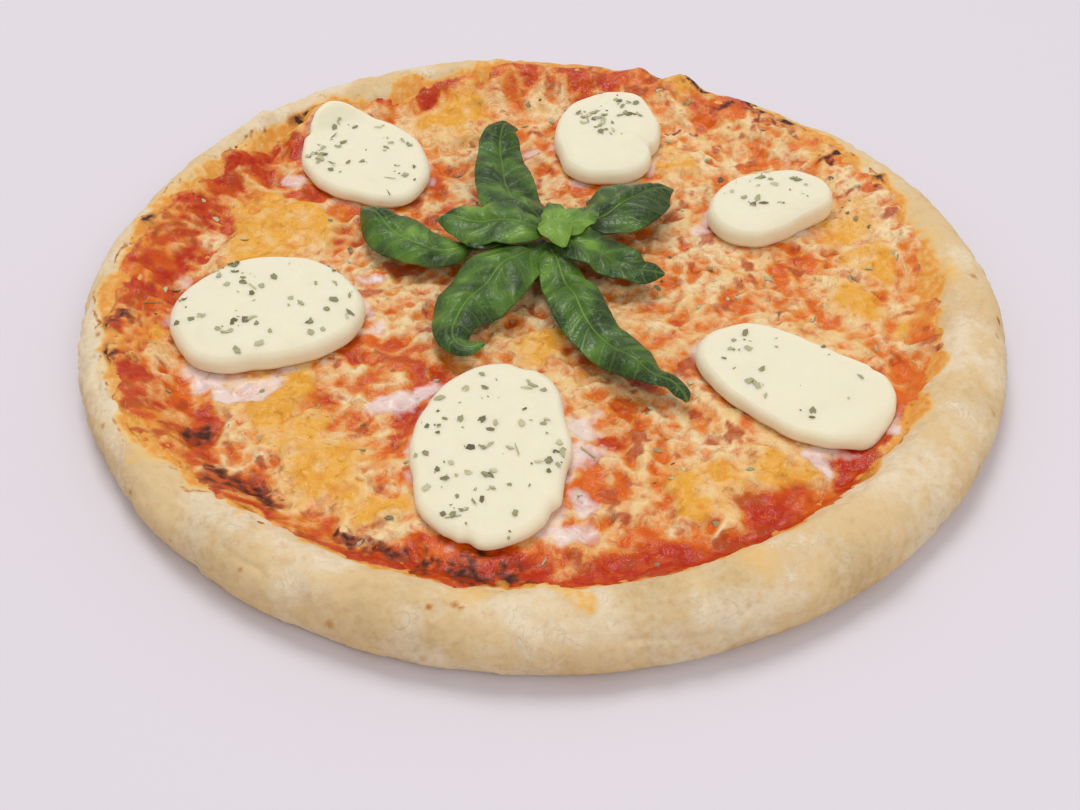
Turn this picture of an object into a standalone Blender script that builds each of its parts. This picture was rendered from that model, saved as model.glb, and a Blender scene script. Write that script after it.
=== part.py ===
"""A cheese pizza: a baked dough disc with a puffed rim, tomato sauce, melted cheese, six slices of fresh
mozzarella dusted with dried oregano, and a sprig of basil in the middle.

Metres, +Z up. The origin is on the table under the middle of the pizza. Driving sizes and tables are in
millimetres and degrees; MM turns them into metres when a mesh is made. Angles run anticlockwise from +X,
and -Y is the side nearest the eater."""

import math
import random

import bmesh
import bpy
from mathutils import Matrix, Vector, noise
from mathutils.bvhtree import BVHTree

MM = 0.001
GAP = 0.3  # clear space kept between pieces that touch in the real pizza

# Round the pizza: one value every 30 degrees, starting at +X
OUTER_RADIUS = (160, 158, 157.5, 160, 161.5, 159.5, 160, 158.5, 159.5, 160.5, 160.5, 160)
CREST_RADIUS = (147, 147, 149, 149, 152, 151, 150, 148, 148, 147, 142, 145)
CREST_HEIGHT = (19, 17.5, 15.5, 19.5, 20.5, 19.5, 18, 18.5, 19.5, 20, 20, 20)
SLOPE_RUN = (24, 26, 26, 24, 24, 24, 24, 24, 24, 22, 15, 20)
SAUCE_RADIUS = (138, 144, 153, 151, 148, 151, 151, 146, 136, 136, 134, 133)
CHEESE_RADIUS = (132, 137, 146, 141, 138, 133, 138, 134, 127, 122, 119, 122)

# Dough
SECTORS = 72
DOUGH_FLOOR = 6.0
SIDE_HEIGHT = 8.5  # where the rim is widest
UNDERCUT = 7.0  # how far the foot of the rim lies inside its widest line
RIM_RINGS = 6
FOOT_RINGS = 3
RIM_LUMP = 1.1
RIM_LUMP_SIZE = 26.0
# Bubbles and swellings of the rim: angle, distance from the middle, reach, height
BLISTERS = (
    (67, 154, 10, 5.5),
    (74, 153, 9, 2.5),
    (137, 152, 8, 2.6),
    (167, 149, 7, 2.0),
    (190, 147, 6, 1.6),
    (215, 152, 17, 1.3),
    (248, 151, 18, 1.4),
    (286, 152, 15, 1.8),
    (312, 150, 16, 1.5),
    (345, 150, 15, 1.4),
    (22, 150, 16, 1.2),
)

# Sauce and melted cheese
INNER_SHARES = (0.80, 0.87, 0.94, 1.0)  # shares of the cheese's radius where the layers have rings
THIN_FROM = 0.85  # share of a layer's radius where it starts to thin out
SAUCE_DEPTH = 1.5
SAUCE_EDGE_DEPTH = 0.6
SAUCE_WIGGLE = 1.6
CHEESE_DEPTH = 2.5
CHEESE_EDGE_DEPTH = 1.0
CHEESE_WIGGLE = 4.0
CHEESE_LUMP = 1.5
CHEESE_LUMP_SIZE = 11.0
CHEESE_RINGS = 9  # rings of lumps inside the first share
LUMP_FADE = 0.12  # share of the cheese's radius over which its lumps fade out at the edge
# Swollen pools of cheese: x, y, reach, height
CHEESE_DOMES = (
    (-88, -52, 17, 2.0),
    (-96, 50, 19, 1.5),
    (-60, -88, 17, 1.6),
    (-30, 118, 17, 1.2),
    (42, -96, 11, 1.8),
    (56, -88, 10, 1.5),
    (74, -84, 9, 1.4),
    (112, 45, 13, 1.4),
    (110, 0, 13, 1.2),
    (-2, -22, 12, 1.0),
)

# Mozzarella: x, y, depth, and the outline's radius every 30 degrees from the slice's own middle
SLICES = {
    "mozzarella_front": (-16, -78, 6.5, (25.5, 27, 35.5, 37, 31, 26.5, 25.5, 27, 36, 41.5, 36, 27)),
    "mozzarella_left": (-95, -10, 9.0, (34.5, 31, 28.5, 27, 27.5, 28.5, 32.5, 33, 34, 29.5, 29, 33)),
    "mozzarella_back_left": (-71, 86, 7.0, (26, 24.5, 24.5, 28, 31, 25.5, 23.5, 22, 23, 26.5, 34.5, 31.5)),
    "mozzarella_back": (27, 100, 8.5, (20.5, 23, 28, 28.5, 27, 23, 22, 23, 28.5, 29, 26, 20)),
    "mozzarella_right_back": (87, 53, 9.5, (22.5, 23.5, 21, 17, 17, 19.5, 24, 27, 25, 19.5, 15.5, 17)),
    "mozzarella_right": (84, -48, 7.0, (30, 21.5, 19.5, 23.5, 33.5, 37, 28, 22, 21.5, 26.5, 32.5, 32.5)),
}
SLICE_POINTS = 22
# Rings of a slice from its foot to its top: share of the outline's radius, share of the depth
SLICE_PROFILE = ((0.90, 0.0), (0.99, 0.18), (1.0, 0.42), (0.955, 0.74), (0.84, 0.93), (0.5, 1.0))
SLICE_CROWN = 1.03  # share of the depth in the middle of the top
SLICE_UNDER_SHARE = 0.45  # share of the outline's radius where the underside has a ring
SLICE_LIFT = 0.25  # extra room under a slice, which drapes over what slopes beneath it
PRESSED_REACH = 1.04  # share of a slice's radius within which the cheese is pressed level
PRESSED_RUN = 0.25
BARE_RIM_RUN = 6.0  # how far outside the sauce a slice has sunk onto the bare rim

# Dried oregano: where it was sprinkled on each slice, as a shift of the middle and a share of the radius
HERB_SHIFT = {"mozzarella_back": (-1, 10), "mozzarella_right_back": (-2, 3), "mozzarella_right": (-6, 4)}
HERB_SPREAD = {"mozzarella_back": 0.5, "mozzarella_right": 0.7}
HERB_LIMIT = 0.8  # share of a slice's radius within which its flakes lie
HERB_CLEARANCE = 1.2  # share of a slice's radius outside which the flakes on the cheese lie
HERBS_PER_SLICE = 10
HERBS_ON_CHEESE = 12
HERB_RING = (55, 114)  # nearest and farthest from the middle on the cheese
BASIL_REACH = 82  # no flakes lie nearer than this to the stem
HERB_MARGIN = 1.0
HERB_LENGTH = (1.5, 3.2)
HERB_NARROWNESS = 0.55
HERB_CORNERS = 5
HERB_DEPTH = 1.1
HERB_PROFILE = ((-0.6, 0.8), (0.5, 1.0))  # share of the depth, share of the length
HERB_CAPS = (-0.65, 0.6)
HERB_SEED = 11
DROP_HEIGHT = 100  # flakes are let down from above everything

# Basil: the midrib from stalk to tip as x, y, z and half width; the droop of the left and right halves
# in degrees; the turn about the midrib at the stalk and at the tip; the wave of the edge
LEAF_THICKNESS = 0.6
LEAF_GRID = (11, 4)  # steps along, strips across
SMALL_LEAF_GRID = (5, 4)
SMALL_LEAF_WIDTH = 6  # leaves that stay narrower have the smaller grid
LEAST_HALF_WIDTH = 0.4
FULL_WAVE_WIDTH = 8  # where the leaf is narrower its edge waves less
WAVE_TURNS = 19  # radians of the edge's wave from stalk to tip
LEAVES = {
    "basil_leaf_back": (
        ((3.5, 30, 18.5, 0.8), (-1.5, 40, 18.5, 4), (-10, 48, 20, 11.3), (-13, 59, 20.5, 12),
         (-14.6, 71, 20.5, 11), (-15.8, 83, 20, 8.8), (-16, 91, 20.5, 8), (-14.5, 98, 20.5, 6),
         (-10.5, 102, 17.5, 2)),
        28, 30, 0, -10, 0.8),
    "basil_leaf_far_left": (
        ((1.5, 25.5, 16, 0.8), (-12, 25, 15.4, 0.8), (-25, 25.5, 15.6, 2.6), (-31, 22, 18, 7),
         (-38.5, 21.5, 19, 9.6), (-46.5, 24.5, 19.8, 11), (-55, 32.3, 19.6, 11), (-61, 40.3, 18.5, 8),
         (-67, 49, 16, 0.6)),
        55, 36, 4, 4, 0.3),
    "basil_leaf_left": (
        ((1.8, 28, 22, 1.6), (-6, 27.7, 24, 9), (-14, 31, 24.5, 13), (-22, 33.3, 24, 13),
         (-29, 36.3, 22, 10.5), (-34.5, 38.7, 19, 6), (-38.8, 40, 16.5, 0.7)),
        40, 30, 0, 0, 0.5),
    "basil_leaf_front_left": (
        ((2, 24.5, 18, 0.8), (-2, 20, 18.5, 2.5), (-8, 13.7, 20, 9), (-14, 6.5, 21, 13.7),
         (-20, -3.5, 21, 14), (-25.5, -12, 20.5, 11.8), (-29, -20.5, 19.5, 9), (-30, -27, 18.5, 6.5),
         (-28, -32, 17.7, 4.6), (-24, -34.3, 17.4, 3), (-19, -32, 17.4, 0.8)),
        36, 28, 0, 0, 0.7),
    "basil_leaf_front_right": (
        ((3.8, 24, 17, 0.8), (3.5, 19, 17.5, 2.6), (6.5, 8.5, 19.5, 6.8), (10, -4, 20.5, 10),
         (13.5, -15.5, 20.5, 10.6), (18, -26, 20, 9.4), (24, -35.5, 19.5, 9), (30.5, -43, 18.5, 8.2),
         (36.5, -48, 17.5, 4.8), (42, -50, 16.5, 3.4), (45.7, -54, 15, 2.8), (47, -57, 13.6, 0.6)),
        40, 34, 0, -15, 0.4),
    "basil_leaf_right": (
        ((6.5, 26, 19, 0.8), (9, 24, 20, 3), (13.5, 20.5, 21, 6.8), (21.5, 17, 20.5, 10.3),
         (29, 12.3, 19, 9.2), (36, 8.3, 17.5, 6.2), (43.5, 8.2, 15.5, 0.6)),
        14, 26, 4, 0, 1.2),
    "basil_leaf_back_right": (
        ((6.5, 29, 17.5, 0.8), (13, 33.3, 18, 2.6), (18.5, 36.5, 20, 9), (25, 40.5, 20.5, 14),
         (32, 46.3, 21, 14.7), (38.5, 52.3, 20.5, 12.2), (44.5, 57.8, 18.5, 7.6), (50, 60.8, 16, 0.6)),
        30, 20, 4, -4, 0.8),
    "basil_leaf_tip_front": (
        ((4, 26, 24.4, 0.8), (4.6, 22, 25.6, 4.3), (6.8, 17.3, 24.2, 0.8)), 25, 25, 0, 0, 0.2),
    "basil_leaf_tip_back": (
        ((3.4, 31, 23.4, 0.8), (1.6, 36.5, 24.8, 3.2), (0.6, 43, 23.6, 0.6)), 25, 25, 0, 0, 0.2),
    "basil_leaf_folded": (
        ((8.5, 27, 23, 0.8), (15, 31.5, 25, 5), (18, 37.5, 24.2, 0.8)), 22, 22, 0, 0, 0.3),
    "basil_leaf_small": (
        ((-12, 22.5, 18.4, 0.7), (-17, 22.3, 18.6, 2.8), (-22, 22.6, 18.6, 3.8), (-27, 23.8, 18.4, 0.7)),
        18, 12, 0, 0, 0.3),
}
STEM_FOOT = (4.5, 27, 12.6)
STEM_HEAD = (4.5, 27, 20.6)
STEM_RADIUS = 1.3
STEM_CORNERS = 8
STEM_TAPER = ((0, 1.0), (0.5, 0.85), (1, 0.7))  # share of the height, share of the radius

# Colour, roughness
LOOKS = {
    "dough": ((0.75, 0.57, 0.36), 0.75),
    "tomato_sauce": ((0.52, 0.07, 0.02), 0.35),
    "melted_cheese": ((0.80, 0.42, 0.13), 0.4),
    "mozzarella": ((0.90, 0.84, 0.68), 0.35),
    "basil": ((0.06, 0.14, 0.03), 0.4),
}


def around(values, angle):
    """A smooth closed curve through values spaced evenly round a circle, read at an angle in degrees."""
    count = len(values)
    place = (angle % 360) / 360 * count
    first = int(place)
    part = place - first
    a, b, c, d = (values[(first + step) % count] for step in (-1, 0, 1, 2))
    return b + 0.5 * part * (c - a + part * (2 * a - 5 * b + 4 * c - d + part * (3 * (b - c) + d - a)))


def ease(share):
    """0 to 1 with a level start and end."""
    share = min(1.0, max(0.0, share))
    return share * share * (3 - 2 * share)


def polar(radius, angle):
    """The x and y of a point at a distance and an angle from the middle."""
    turn = math.radians(angle)
    return radius * math.cos(turn), radius * math.sin(turn)


def wobble(x, y, size, layer):
    """Smooth unevenness from -1 to 1, with features of about the given size. Each layer has its own."""
    return noise.noise(Vector((x / size, y / size, 7.3 * layer)))


def bumps(x, y, table):
    """The height of the round swellings of a table at a point."""
    total = 0.0
    for place_x, place_y, reach, height in table:
        away = math.hypot(x - place_x, y - place_y) / reach
        if away < 1:
            total += height * ease(1 - away)
    return total


BLISTER_PLACES = tuple(
    (*polar(radius, angle), reach, height) for angle, radius, reach, height in BLISTERS
)


def smooth_dough(radius, angle):
    """The top of the dough without its lumps: level inside, a slope up to the crest, a fall outside."""
    crest = around(CREST_RADIUS, angle)
    top = around(CREST_HEIGHT, angle)
    run = around(SLOPE_RUN, angle)
    if radius <= crest:
        return DOUGH_FLOOR + (top - DOUGH_FLOOR) * ease((radius - crest + run) / run)
    outer = around(OUTER_RADIUS, angle)
    out = min(1.0, (radius - crest) / (outer - crest))
    return SIDE_HEIGHT + (top - SIDE_HEIGHT) * math.sqrt(1 - out * out)


def rim_lumps(radius, angle):
    """How far the rim's lumps and blisters stand up. They fade out where the toppings lie level."""
    x, y = polar(radius, angle)
    run = around(SLOPE_RUN, angle)
    share = ease((radius - around(CREST_RADIUS, angle) + run) / run)
    return share * (RIM_LUMP * wobble(x, y, RIM_LUMP_SIZE, 1) + bumps(x, y, BLISTER_PLACES))


def dough_top(radius, angle):
    """The top of the dough."""
    return smooth_dough(radius, angle) + rim_lumps(radius, angle)


def cheese_radius(angle):
    """Where the melted cheese ends."""
    x, y = polar(100, angle)
    return around(CHEESE_RADIUS, angle) + CHEESE_WIGGLE * wobble(x, y, 9, 2)


def sauce_radius(angle):
    """Where the sauce ends."""
    x, y = polar(100, angle)
    return around(SAUCE_RADIUS, angle) + SAUCE_WIGGLE * wobble(x, y, 7, 3)


def layer_radii(angle):
    """Where every layer has its rings, so that each one lies evenly on the one below."""
    cheese = cheese_radius(angle)
    sauce = sauce_radius(angle)
    return [cheese * share for share in INNER_SHARES] + [(cheese + sauce) / 2, sauce]


def rim_radii(angle):
    """The rings of the bare rim, from the sauce's edge to the widest line, closer together outside."""
    sauce = sauce_radius(angle)
    outer = around(OUTER_RADIUS, angle)
    turns = [math.pi / 2 * step / RIM_RINGS for step in range(1, RIM_RINGS + 1)]
    return [sauce + (outer - sauce) * math.sin(turn) for turn in turns]


def slice_reach(name, x, y):
    """How far out a point lies on a slice: 0 in its middle, 1 on its outline."""
    middle_x, middle_y, _, outline = SLICES[name]
    angle = math.degrees(math.atan2(y - middle_y, x - middle_x))
    return math.hypot(x - middle_x, y - middle_y) / around(outline, angle)


def cheese_lumps(x, y):
    """The relief of the melted cheese. It is pressed level under the mozzarella."""
    free = min(ease((slice_reach(name, x, y) - PRESSED_REACH) / PRESSED_RUN) for name in SLICES)
    return free * (CHEESE_LUMP * wobble(x, y, CHEESE_LUMP_SIZE, 4) + bumps(x, y, CHEESE_DOMES))


def sauce_depth(share):
    """The sauce's depth from its middle, share 0, to its edge, share 1."""
    return SAUCE_DEPTH + (SAUCE_EDGE_DEPTH - SAUCE_DEPTH) * ease((share - THIN_FROM) / (1 - THIN_FROM))


def cheese_depth(share):
    """The cheese's depth from its middle, share 0, to its edge, share 1."""
    return CHEESE_DEPTH + (CHEESE_EDGE_DEPTH - CHEESE_DEPTH) * ease((share - THIN_FROM) / (1 - THIN_FROM))


def sauce_foot(radius, angle):
    """The underside of the sauce."""
    return dough_top(radius, angle) + GAP


def sauce_top(radius, angle):
    """The upper side of the sauce."""
    return sauce_foot(radius, angle) + sauce_depth(radius / sauce_radius(angle))


def cheese_foot(radius, angle):
    """The underside of the melted cheese."""
    return sauce_top(radius, angle) + GAP


def stack_top(x, y):
    """The top of what lies under a slice: cheese, then sauce, then bare rim."""
    radius = math.hypot(x, y)
    angle = math.degrees(math.atan2(y, x))
    cheese = cheese_radius(angle)
    sauce = sauce_radius(angle)
    covered = GAP + SAUCE_DEPTH + GAP + CHEESE_DEPTH
    sauce_only = GAP + SAUCE_DEPTH
    depth = covered + (sauce_only - covered) * ease((radius - cheese) / (sauce - cheese))
    depth -= sauce_only * ease((radius - sauce) / BARE_RIM_RUN)
    return dough_top(radius, angle) + depth


def ring(mesh, points):
    """Adds a ring or row of points, given in millimetres."""
    return [mesh.verts.new(Vector(point) * MM) for point in points]


def band(mesh, first, second):
    """Joins two rings by triangles. Every band is split the same way, so that stacked layers match."""
    for here in range(len(first)):
        after = (here + 1) % len(first)
        mesh.faces.new((first[here], first[after], second[after]))
        mesh.faces.new((first[here], second[after], second[here]))


def fan(mesh, rim, middle):
    """Closes a ring with triangles to a middle point."""
    centre = mesh.verts.new(Vector(middle) * MM)
    for here in range(len(rim)):
        mesh.faces.new((rim[here], rim[(here + 1) % len(rim)], centre))


def sector_ring(mesh, radius_at, height_at):
    """A ring round the pizza, its radius and height given by functions of the angle."""
    points = []
    for sector in range(SECTORS):
        angle = 360 * sector / SECTORS
        radius = radius_at(angle)
        points.append((*polar(radius, angle), height_at(radius, angle)))
    return ring(mesh, points)


def material(kind):
    """The plain material of one kind of piece."""
    found = bpy.data.materials.get(kind)
    if found:
        return found
    colour, roughness = LOOKS[kind]
    made = bpy.data.materials.new(kind)
    made.use_nodes = True
    shader = made.node_tree.nodes["Principled BSDF"]
    shader.inputs["Base Color"].default_value = (*colour, 1.0)
    shader.inputs["Roughness"].default_value = roughness
    shader.inputs["Metallic"].default_value = 0.0
    return made


def finish_object(mesh, name, kind, smooth=True):
    """Turns a bmesh into a named object with its material."""
    bmesh.ops.recalc_face_normals(mesh, faces=mesh.faces)
    data = bpy.data.meshes.new(name)
    mesh.to_mesh(data)
    mesh.free()
    data.materials.append(material(kind))
    if smooth:
        data.shade_smooth()
    made = bpy.data.objects.new(name, data)
    bpy.context.scene.collection.objects.link(made)
    return made


def make_dough():
    """The baked base and its rim, with a flat underside."""
    mesh = bmesh.new()
    rings = []
    for step in range(len(INNER_SHARES) + 2):
        rings.append(sector_ring(mesh, lambda angle, step=step: layer_radii(angle)[step], dough_top))
    for step in range(RIM_RINGS):
        rings.append(sector_ring(mesh, lambda angle, step=step: rim_radii(angle)[step], dough_top))
    for step in range(1, FOOT_RINGS + 1):
        turn = math.pi / 2 * step / FOOT_RINGS
        height = SIDE_HEIGHT * (1 - math.sin(turn))
        rings.append(
            sector_ring(
                mesh,
                lambda angle, turn=turn: around(OUTER_RADIUS, angle) - UNDERCUT * (1 - math.cos(turn)),
                lambda radius, angle, height=height: height,
            )
        )
    for inner, outer in zip(rings, rings[1:]):
        band(mesh, inner, outer)
    fan(mesh, rings[0], (0, 0, DOUGH_FLOOR))
    fan(mesh, rings[-1], (0, 0, 0))
    return finish_object(mesh, "dough", "dough")


def make_sauce():
    """The tomato sauce, which runs under the cheese and shows as a red band round it."""
    mesh = bmesh.new()
    lower = []
    upper = []
    for step in range(len(INNER_SHARES) + 2):
        lower.append(sector_ring(mesh, lambda angle, step=step: layer_radii(angle)[step], sauce_foot))
        upper.append(sector_ring(mesh, lambda angle, step=step: layer_radii(angle)[step], sauce_top))
    for rings in (lower, upper):
        for inner, outer in zip(rings, rings[1:]):
            band(mesh, inner, outer)
    band(mesh, lower[-1], upper[-1])
    fan(mesh, lower[0], (0, 0, DOUGH_FLOOR + GAP))
    fan(mesh, upper[0], (0, 0, DOUGH_FLOOR + GAP + SAUCE_DEPTH))
    return finish_object(mesh, "tomato_sauce", "tomato_sauce")


def cheese_top(radius, angle):
    """The top of the cheese on a fine ring. Its foot is taken where the coarse rings have it."""
    whole = cheese_radius(angle)
    share = radius / whole
    foot = cheese_foot(INNER_SHARES[0] * whole, angle)
    for low, high in zip(INNER_SHARES, INNER_SHARES[1:]):
        if share > low:
            part = min(1.0, (share - low) / (high - low))
            near = cheese_foot(low * whole, angle)
            far = cheese_foot(high * whole, angle)
            foot = near + (far - near) * part
    x, y = polar(radius, angle)
    edge = ease((1 - share) / LUMP_FADE)
    return foot + cheese_depth(share) + edge * cheese_lumps(x, y)


def make_cheese():
    """The melted cheese with its lumps and swollen pools, before the oregano is joined to it."""
    mesh = bmesh.new()
    inner = [INNER_SHARES[0] * step / CHEESE_RINGS for step in range(1, CHEESE_RINGS + 1)]
    fine = list(inner)
    for low, high in zip(INNER_SHARES, INNER_SHARES[1:]):
        fine += [(low + high) / 2, high]
    upper = []
    for share in fine:
        upper.append(sector_ring(mesh, lambda angle, share=share: cheese_radius(angle) * share, cheese_top))
    lower = []
    for share in INNER_SHARES:
        lower.append(sector_ring(mesh, lambda angle, share=share: cheese_radius(angle) * share, cheese_foot))
    for rings in (lower, upper):
        for near, far in zip(rings, rings[1:]):
            band(mesh, near, far)
    band(mesh, lower[-1], upper[-1])
    fan(mesh, lower[0], (0, 0, DOUGH_FLOOR + GAP + SAUCE_DEPTH + GAP))
    fan(mesh, upper[0], (0, 0, cheese_top(0.01, 0)))
    return finish_object(mesh, "melted_cheese", "melted_cheese")


def slice_foot(x, y):
    """The underside of a slice, which drapes over what it lies on."""
    return stack_top(x, y) + GAP + SLICE_LIFT


def make_slice(name):
    """One slice of mozzarella with soft round edges, before the oregano is joined to it."""
    middle_x, middle_y, depth, outline = SLICES[name]
    mesh = bmesh.new()
    rings = []
    for out, up in SLICE_PROFILE:
        points = []
        for corner in range(SLICE_POINTS):
            angle = 360 * corner / SLICE_POINTS
            reach_x, reach_y = polar(around(outline, angle) * out, angle)
            x = middle_x + reach_x
            y = middle_y + reach_y
            points.append((x, y, slice_foot(x, y) + depth * up))
        rings.append(ring(mesh, points))
    for inner, outer in zip(rings, rings[1:]):
        band(mesh, inner, outer)
    under = []
    for corner in range(SLICE_POINTS):
        angle = 360 * corner / SLICE_POINTS
        reach_x, reach_y = polar(around(outline, angle) * SLICE_UNDER_SHARE, angle)
        x = middle_x + reach_x
        y = middle_y + reach_y
        under.append((x, y, slice_foot(x, y)))
    under = ring(mesh, under)
    band(mesh, under, rings[0])
    fan(mesh, under, (middle_x, middle_y, slice_foot(middle_x, middle_y)))
    fan(mesh, rings[-1], (middle_x, middle_y, slice_foot(middle_x, middle_y) + depth * SLICE_CROWN))
    return finish_object(mesh, name, "mozzarella")


def make_flake(draw, base, x, y, kind):
    """One flake of dried oregano, an uneven five-sided chip sunk a little into what it lies on."""
    tree = BVHTree.FromObject(base, bpy.context.evaluated_depsgraph_get())
    hit = tree.ray_cast(Vector((x, y, DROP_HEIGHT)) * MM, Vector((0, 0, -1)))[0]
    height = hit.z / MM
    mesh = bmesh.new()
    length = draw.uniform(*HERB_LENGTH)
    turn = Matrix.Rotation(math.radians(draw.uniform(0, 360)), 2)
    layers = []
    for level, spread in HERB_PROFILE:
        points = []
        for corner in range(HERB_CORNERS):
            reach, across = polar(length / 2 * spread, 360 / HERB_CORNERS * corner)
            turned = turn @ Vector((across * HERB_NARROWNESS, reach))
            points.append((x + turned.x, y + turned.y, height + HERB_DEPTH * level))
        layers.append(ring(mesh, points))
    band(mesh, layers[0], layers[1])
    for layer, cap in zip(layers, HERB_CAPS):
        fan(mesh, layer, (x, y, height + HERB_DEPTH * cap))
    return finish_object(mesh, "flake", kind, smooth=False)


def spread_out(places, x, y):
    """Whether a place is clear of those already taken."""
    apart = HERB_LENGTH[1] + HERB_MARGIN
    return all(math.hypot(x - taken_x, y - taken_y) > apart for taken_x, taken_y in places)


def herb_places_on_slice(draw, name):
    """Where the oregano lies on a slice, as sprinkled."""
    middle_x, middle_y, _, outline = SLICES[name]
    shift_x, shift_y = HERB_SHIFT.get(name, (0, 0))
    places = []
    while len(places) < HERBS_PER_SLICE:
        angle = draw.uniform(0, 360)
        out = math.sqrt(draw.random()) * HERB_SPREAD.get(name, HERB_LIMIT)
        reach_x, reach_y = polar(around(outline, angle) * out, angle)
        x = middle_x + shift_x + reach_x
        y = middle_y + shift_y + reach_y
        if slice_reach(name, x, y) < HERB_LIMIT and spread_out(places, x, y):
            places.append((x, y))
    return places


def herb_places_on_cheese(draw):
    """Where the oregano lies on the melted cheese, clear of the mozzarella and the basil."""
    places = []
    while len(places) < HERBS_ON_CHEESE:
        x, y = polar(draw.uniform(*HERB_RING), draw.uniform(0, 360))
        clear = min(slice_reach(name, x, y) for name in SLICES) > HERB_CLEARANCE
        off_basil = math.hypot(x - STEM_FOOT[0], y - STEM_FOOT[1]) > BASIL_REACH
        if clear and off_basil and spread_out(places, x, y):
            places.append((x, y))
    return places


def join_flakes(base, flakes):
    """Joins flakes to what they lie on by one union."""
    group = bpy.data.collections.new("flakes")
    bpy.context.scene.collection.children.link(group)
    for flake in flakes:
        bpy.context.scene.collection.objects.unlink(flake)
        group.objects.link(flake)
    union = base.modifiers.new("flakes", "BOOLEAN")
    union.operation = "UNION"
    union.operand_type = "COLLECTION"
    union.collection = group
    union.solver = "EXACT"
    bpy.context.view_layer.update()
    joined = bpy.data.meshes.new_from_object(base.evaluated_get(bpy.context.evaluated_depsgraph_get()))
    base.modifiers.remove(union)
    base.data = joined
    for flake in flakes:
        bpy.data.objects.remove(flake)
    bpy.data.collections.remove(group)


def along(points, share):
    """A point, direction and half width on a smooth curve through points, from share 0 to share 1."""
    vectors = [Vector(point) for point in points]
    ends = [vectors[0] * 2 - vectors[1], *vectors, vectors[-1] * 2 - vectors[-2]]
    place = min(share, 0.99999) * (len(vectors) - 1)
    first = int(place)
    part = place - first
    a, b, c, d = ends[first : first + 4]
    second = 2 * a - 5 * b + 4 * c - d
    third = 3 * (b - c) + d - a
    place = b + 0.5 * part * (c - a + part * (second + part * third))
    heading = 0.5 * (c - a + part * (2 * second + part * 3 * third))
    return place.xyz, heading.xyz.normalized(), max(LEAST_HALF_WIDTH, place.w)


def leaf_points(leaf, steps, strips):
    """The middle surface of a leaf: rows of points and normals from the left edge to the right edge."""
    spine, droop_left, droop_right, turn_start, turn_end, wave = leaf
    side = None
    rows = []
    for step in range(steps + 1):
        share = step / steps
        centre, heading, half_width = along(spine, share)
        if side is None:
            side = heading.cross(Vector((0, 0, 1)))
        side = (side - heading * side.dot(heading)).normalized()
        up = side.cross(heading)
        turn = math.radians(turn_start + (turn_end - turn_start) * share)
        across = side * math.cos(turn) + up * math.sin(turn)
        above = up * math.cos(turn) - side * math.sin(turn)
        row = []
        for strip in range(strips + 1):
            out = 2 * strip / strips - 1
            droop = math.radians(droop_left if out < 0 else droop_right) * abs(out)
            reach = half_width * out
            bend = math.sin(droop) / droop if abs(droop) > 1e-6 else 1.0
            fall = (1 - math.cos(droop)) / droop if abs(droop) > 1e-6 else 0.0
            phase = share * WAVE_TURNS + (2 if out < 0 else 0)
            ripple = wave * math.sin(phase) * out * out * min(1.0, half_width / FULL_WAVE_WIDTH)
            point = centre + across * reach * bend - above * (abs(reach) * fall - ripple)
            normal = above * math.cos(droop) + across * math.sin(droop) * (1 if out > 0 else -1)
            row.append((point, normal.normalized()))
        rows.append(row)
    return rows


def make_leaf(name):
    """One basil leaf, a thin bent solid whose two faces are split alike."""
    mesh = bmesh.new()
    widest = max(point[3] for point in LEAVES[name][0])
    steps, strips = SMALL_LEAF_GRID if widest < SMALL_LEAF_WIDTH else LEAF_GRID
    rows = leaf_points(LEAVES[name], steps, strips)
    edge = [(0, strip) for strip in range(strips)]
    edge += [(step, strips) for step in range(steps)]
    edge += [(steps, strip) for strip in range(strips, 0, -1)]
    edge += [(step, 0) for step in range(steps, 0, -1)]
    edges = []
    for offset in (LEAF_THICKNESS / 2, -LEAF_THICKNESS / 2):
        grid = [ring(mesh, [point + normal * offset for point, normal in row]) for row in rows]
        for low, high in zip(grid, grid[1:]):
            for strip in range(strips):
                mesh.faces.new((low[strip], low[strip + 1], high[strip + 1]))
                mesh.faces.new((low[strip], high[strip + 1], high[strip]))
        edges.append([grid[step][strip] for step, strip in edge])
    band(mesh, *edges)
    return finish_object(mesh, name, "basil")


def make_stem():
    """The short stalk that the leaves grow from."""
    mesh = bmesh.new()
    foot = Vector(STEM_FOOT)
    head = Vector(STEM_HEAD)
    rings = []
    for share, size in STEM_TAPER:
        centre = foot.lerp(head, share)
        points = []
        for corner in range(STEM_CORNERS):
            x, y = polar(STEM_RADIUS * size, 360 / STEM_CORNERS * corner)
            points.append((centre.x + x, centre.y + y, centre.z))
        rings.append(ring(mesh, points))
    for lower, upper in zip(rings, rings[1:]):
        band(mesh, lower, upper)
    fan(mesh, rings[0], foot)
    fan(mesh, rings[-1], head)
    return finish_object(mesh, "basil_stem", "basil")


def main():
    """Clears the scene and builds the pizza from the table up."""
    for old in list(bpy.data.objects):
        bpy.data.objects.remove(old)
    draw = random.Random(HERB_SEED)
    make_dough()
    make_sauce()
    cheese = make_cheese()
    places = herb_places_on_cheese(draw)
    join_flakes(cheese, [make_flake(draw, cheese, x, y, "melted_cheese") for x, y in places])
    for name in SLICES:
        piece = make_slice(name)
        places = herb_places_on_slice(draw, name)
        join_flakes(piece, [make_flake(draw, piece, x, y, "mozzarella") for x, y in places])
    for name in LEAVES:
        make_leaf(name)
    make_stem()


main()
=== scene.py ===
"""The looks of a cheese pizza, laid out as an add-on: an operator for each kind of piece and for the stage.

Everything is made in millimetres round the middle of the pizza, +Z up, and turned into metres when its
mesh is made. Angles run anticlockwise from +X, and -Y is the side nearest the eater."""

import math
from functools import partial

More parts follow.
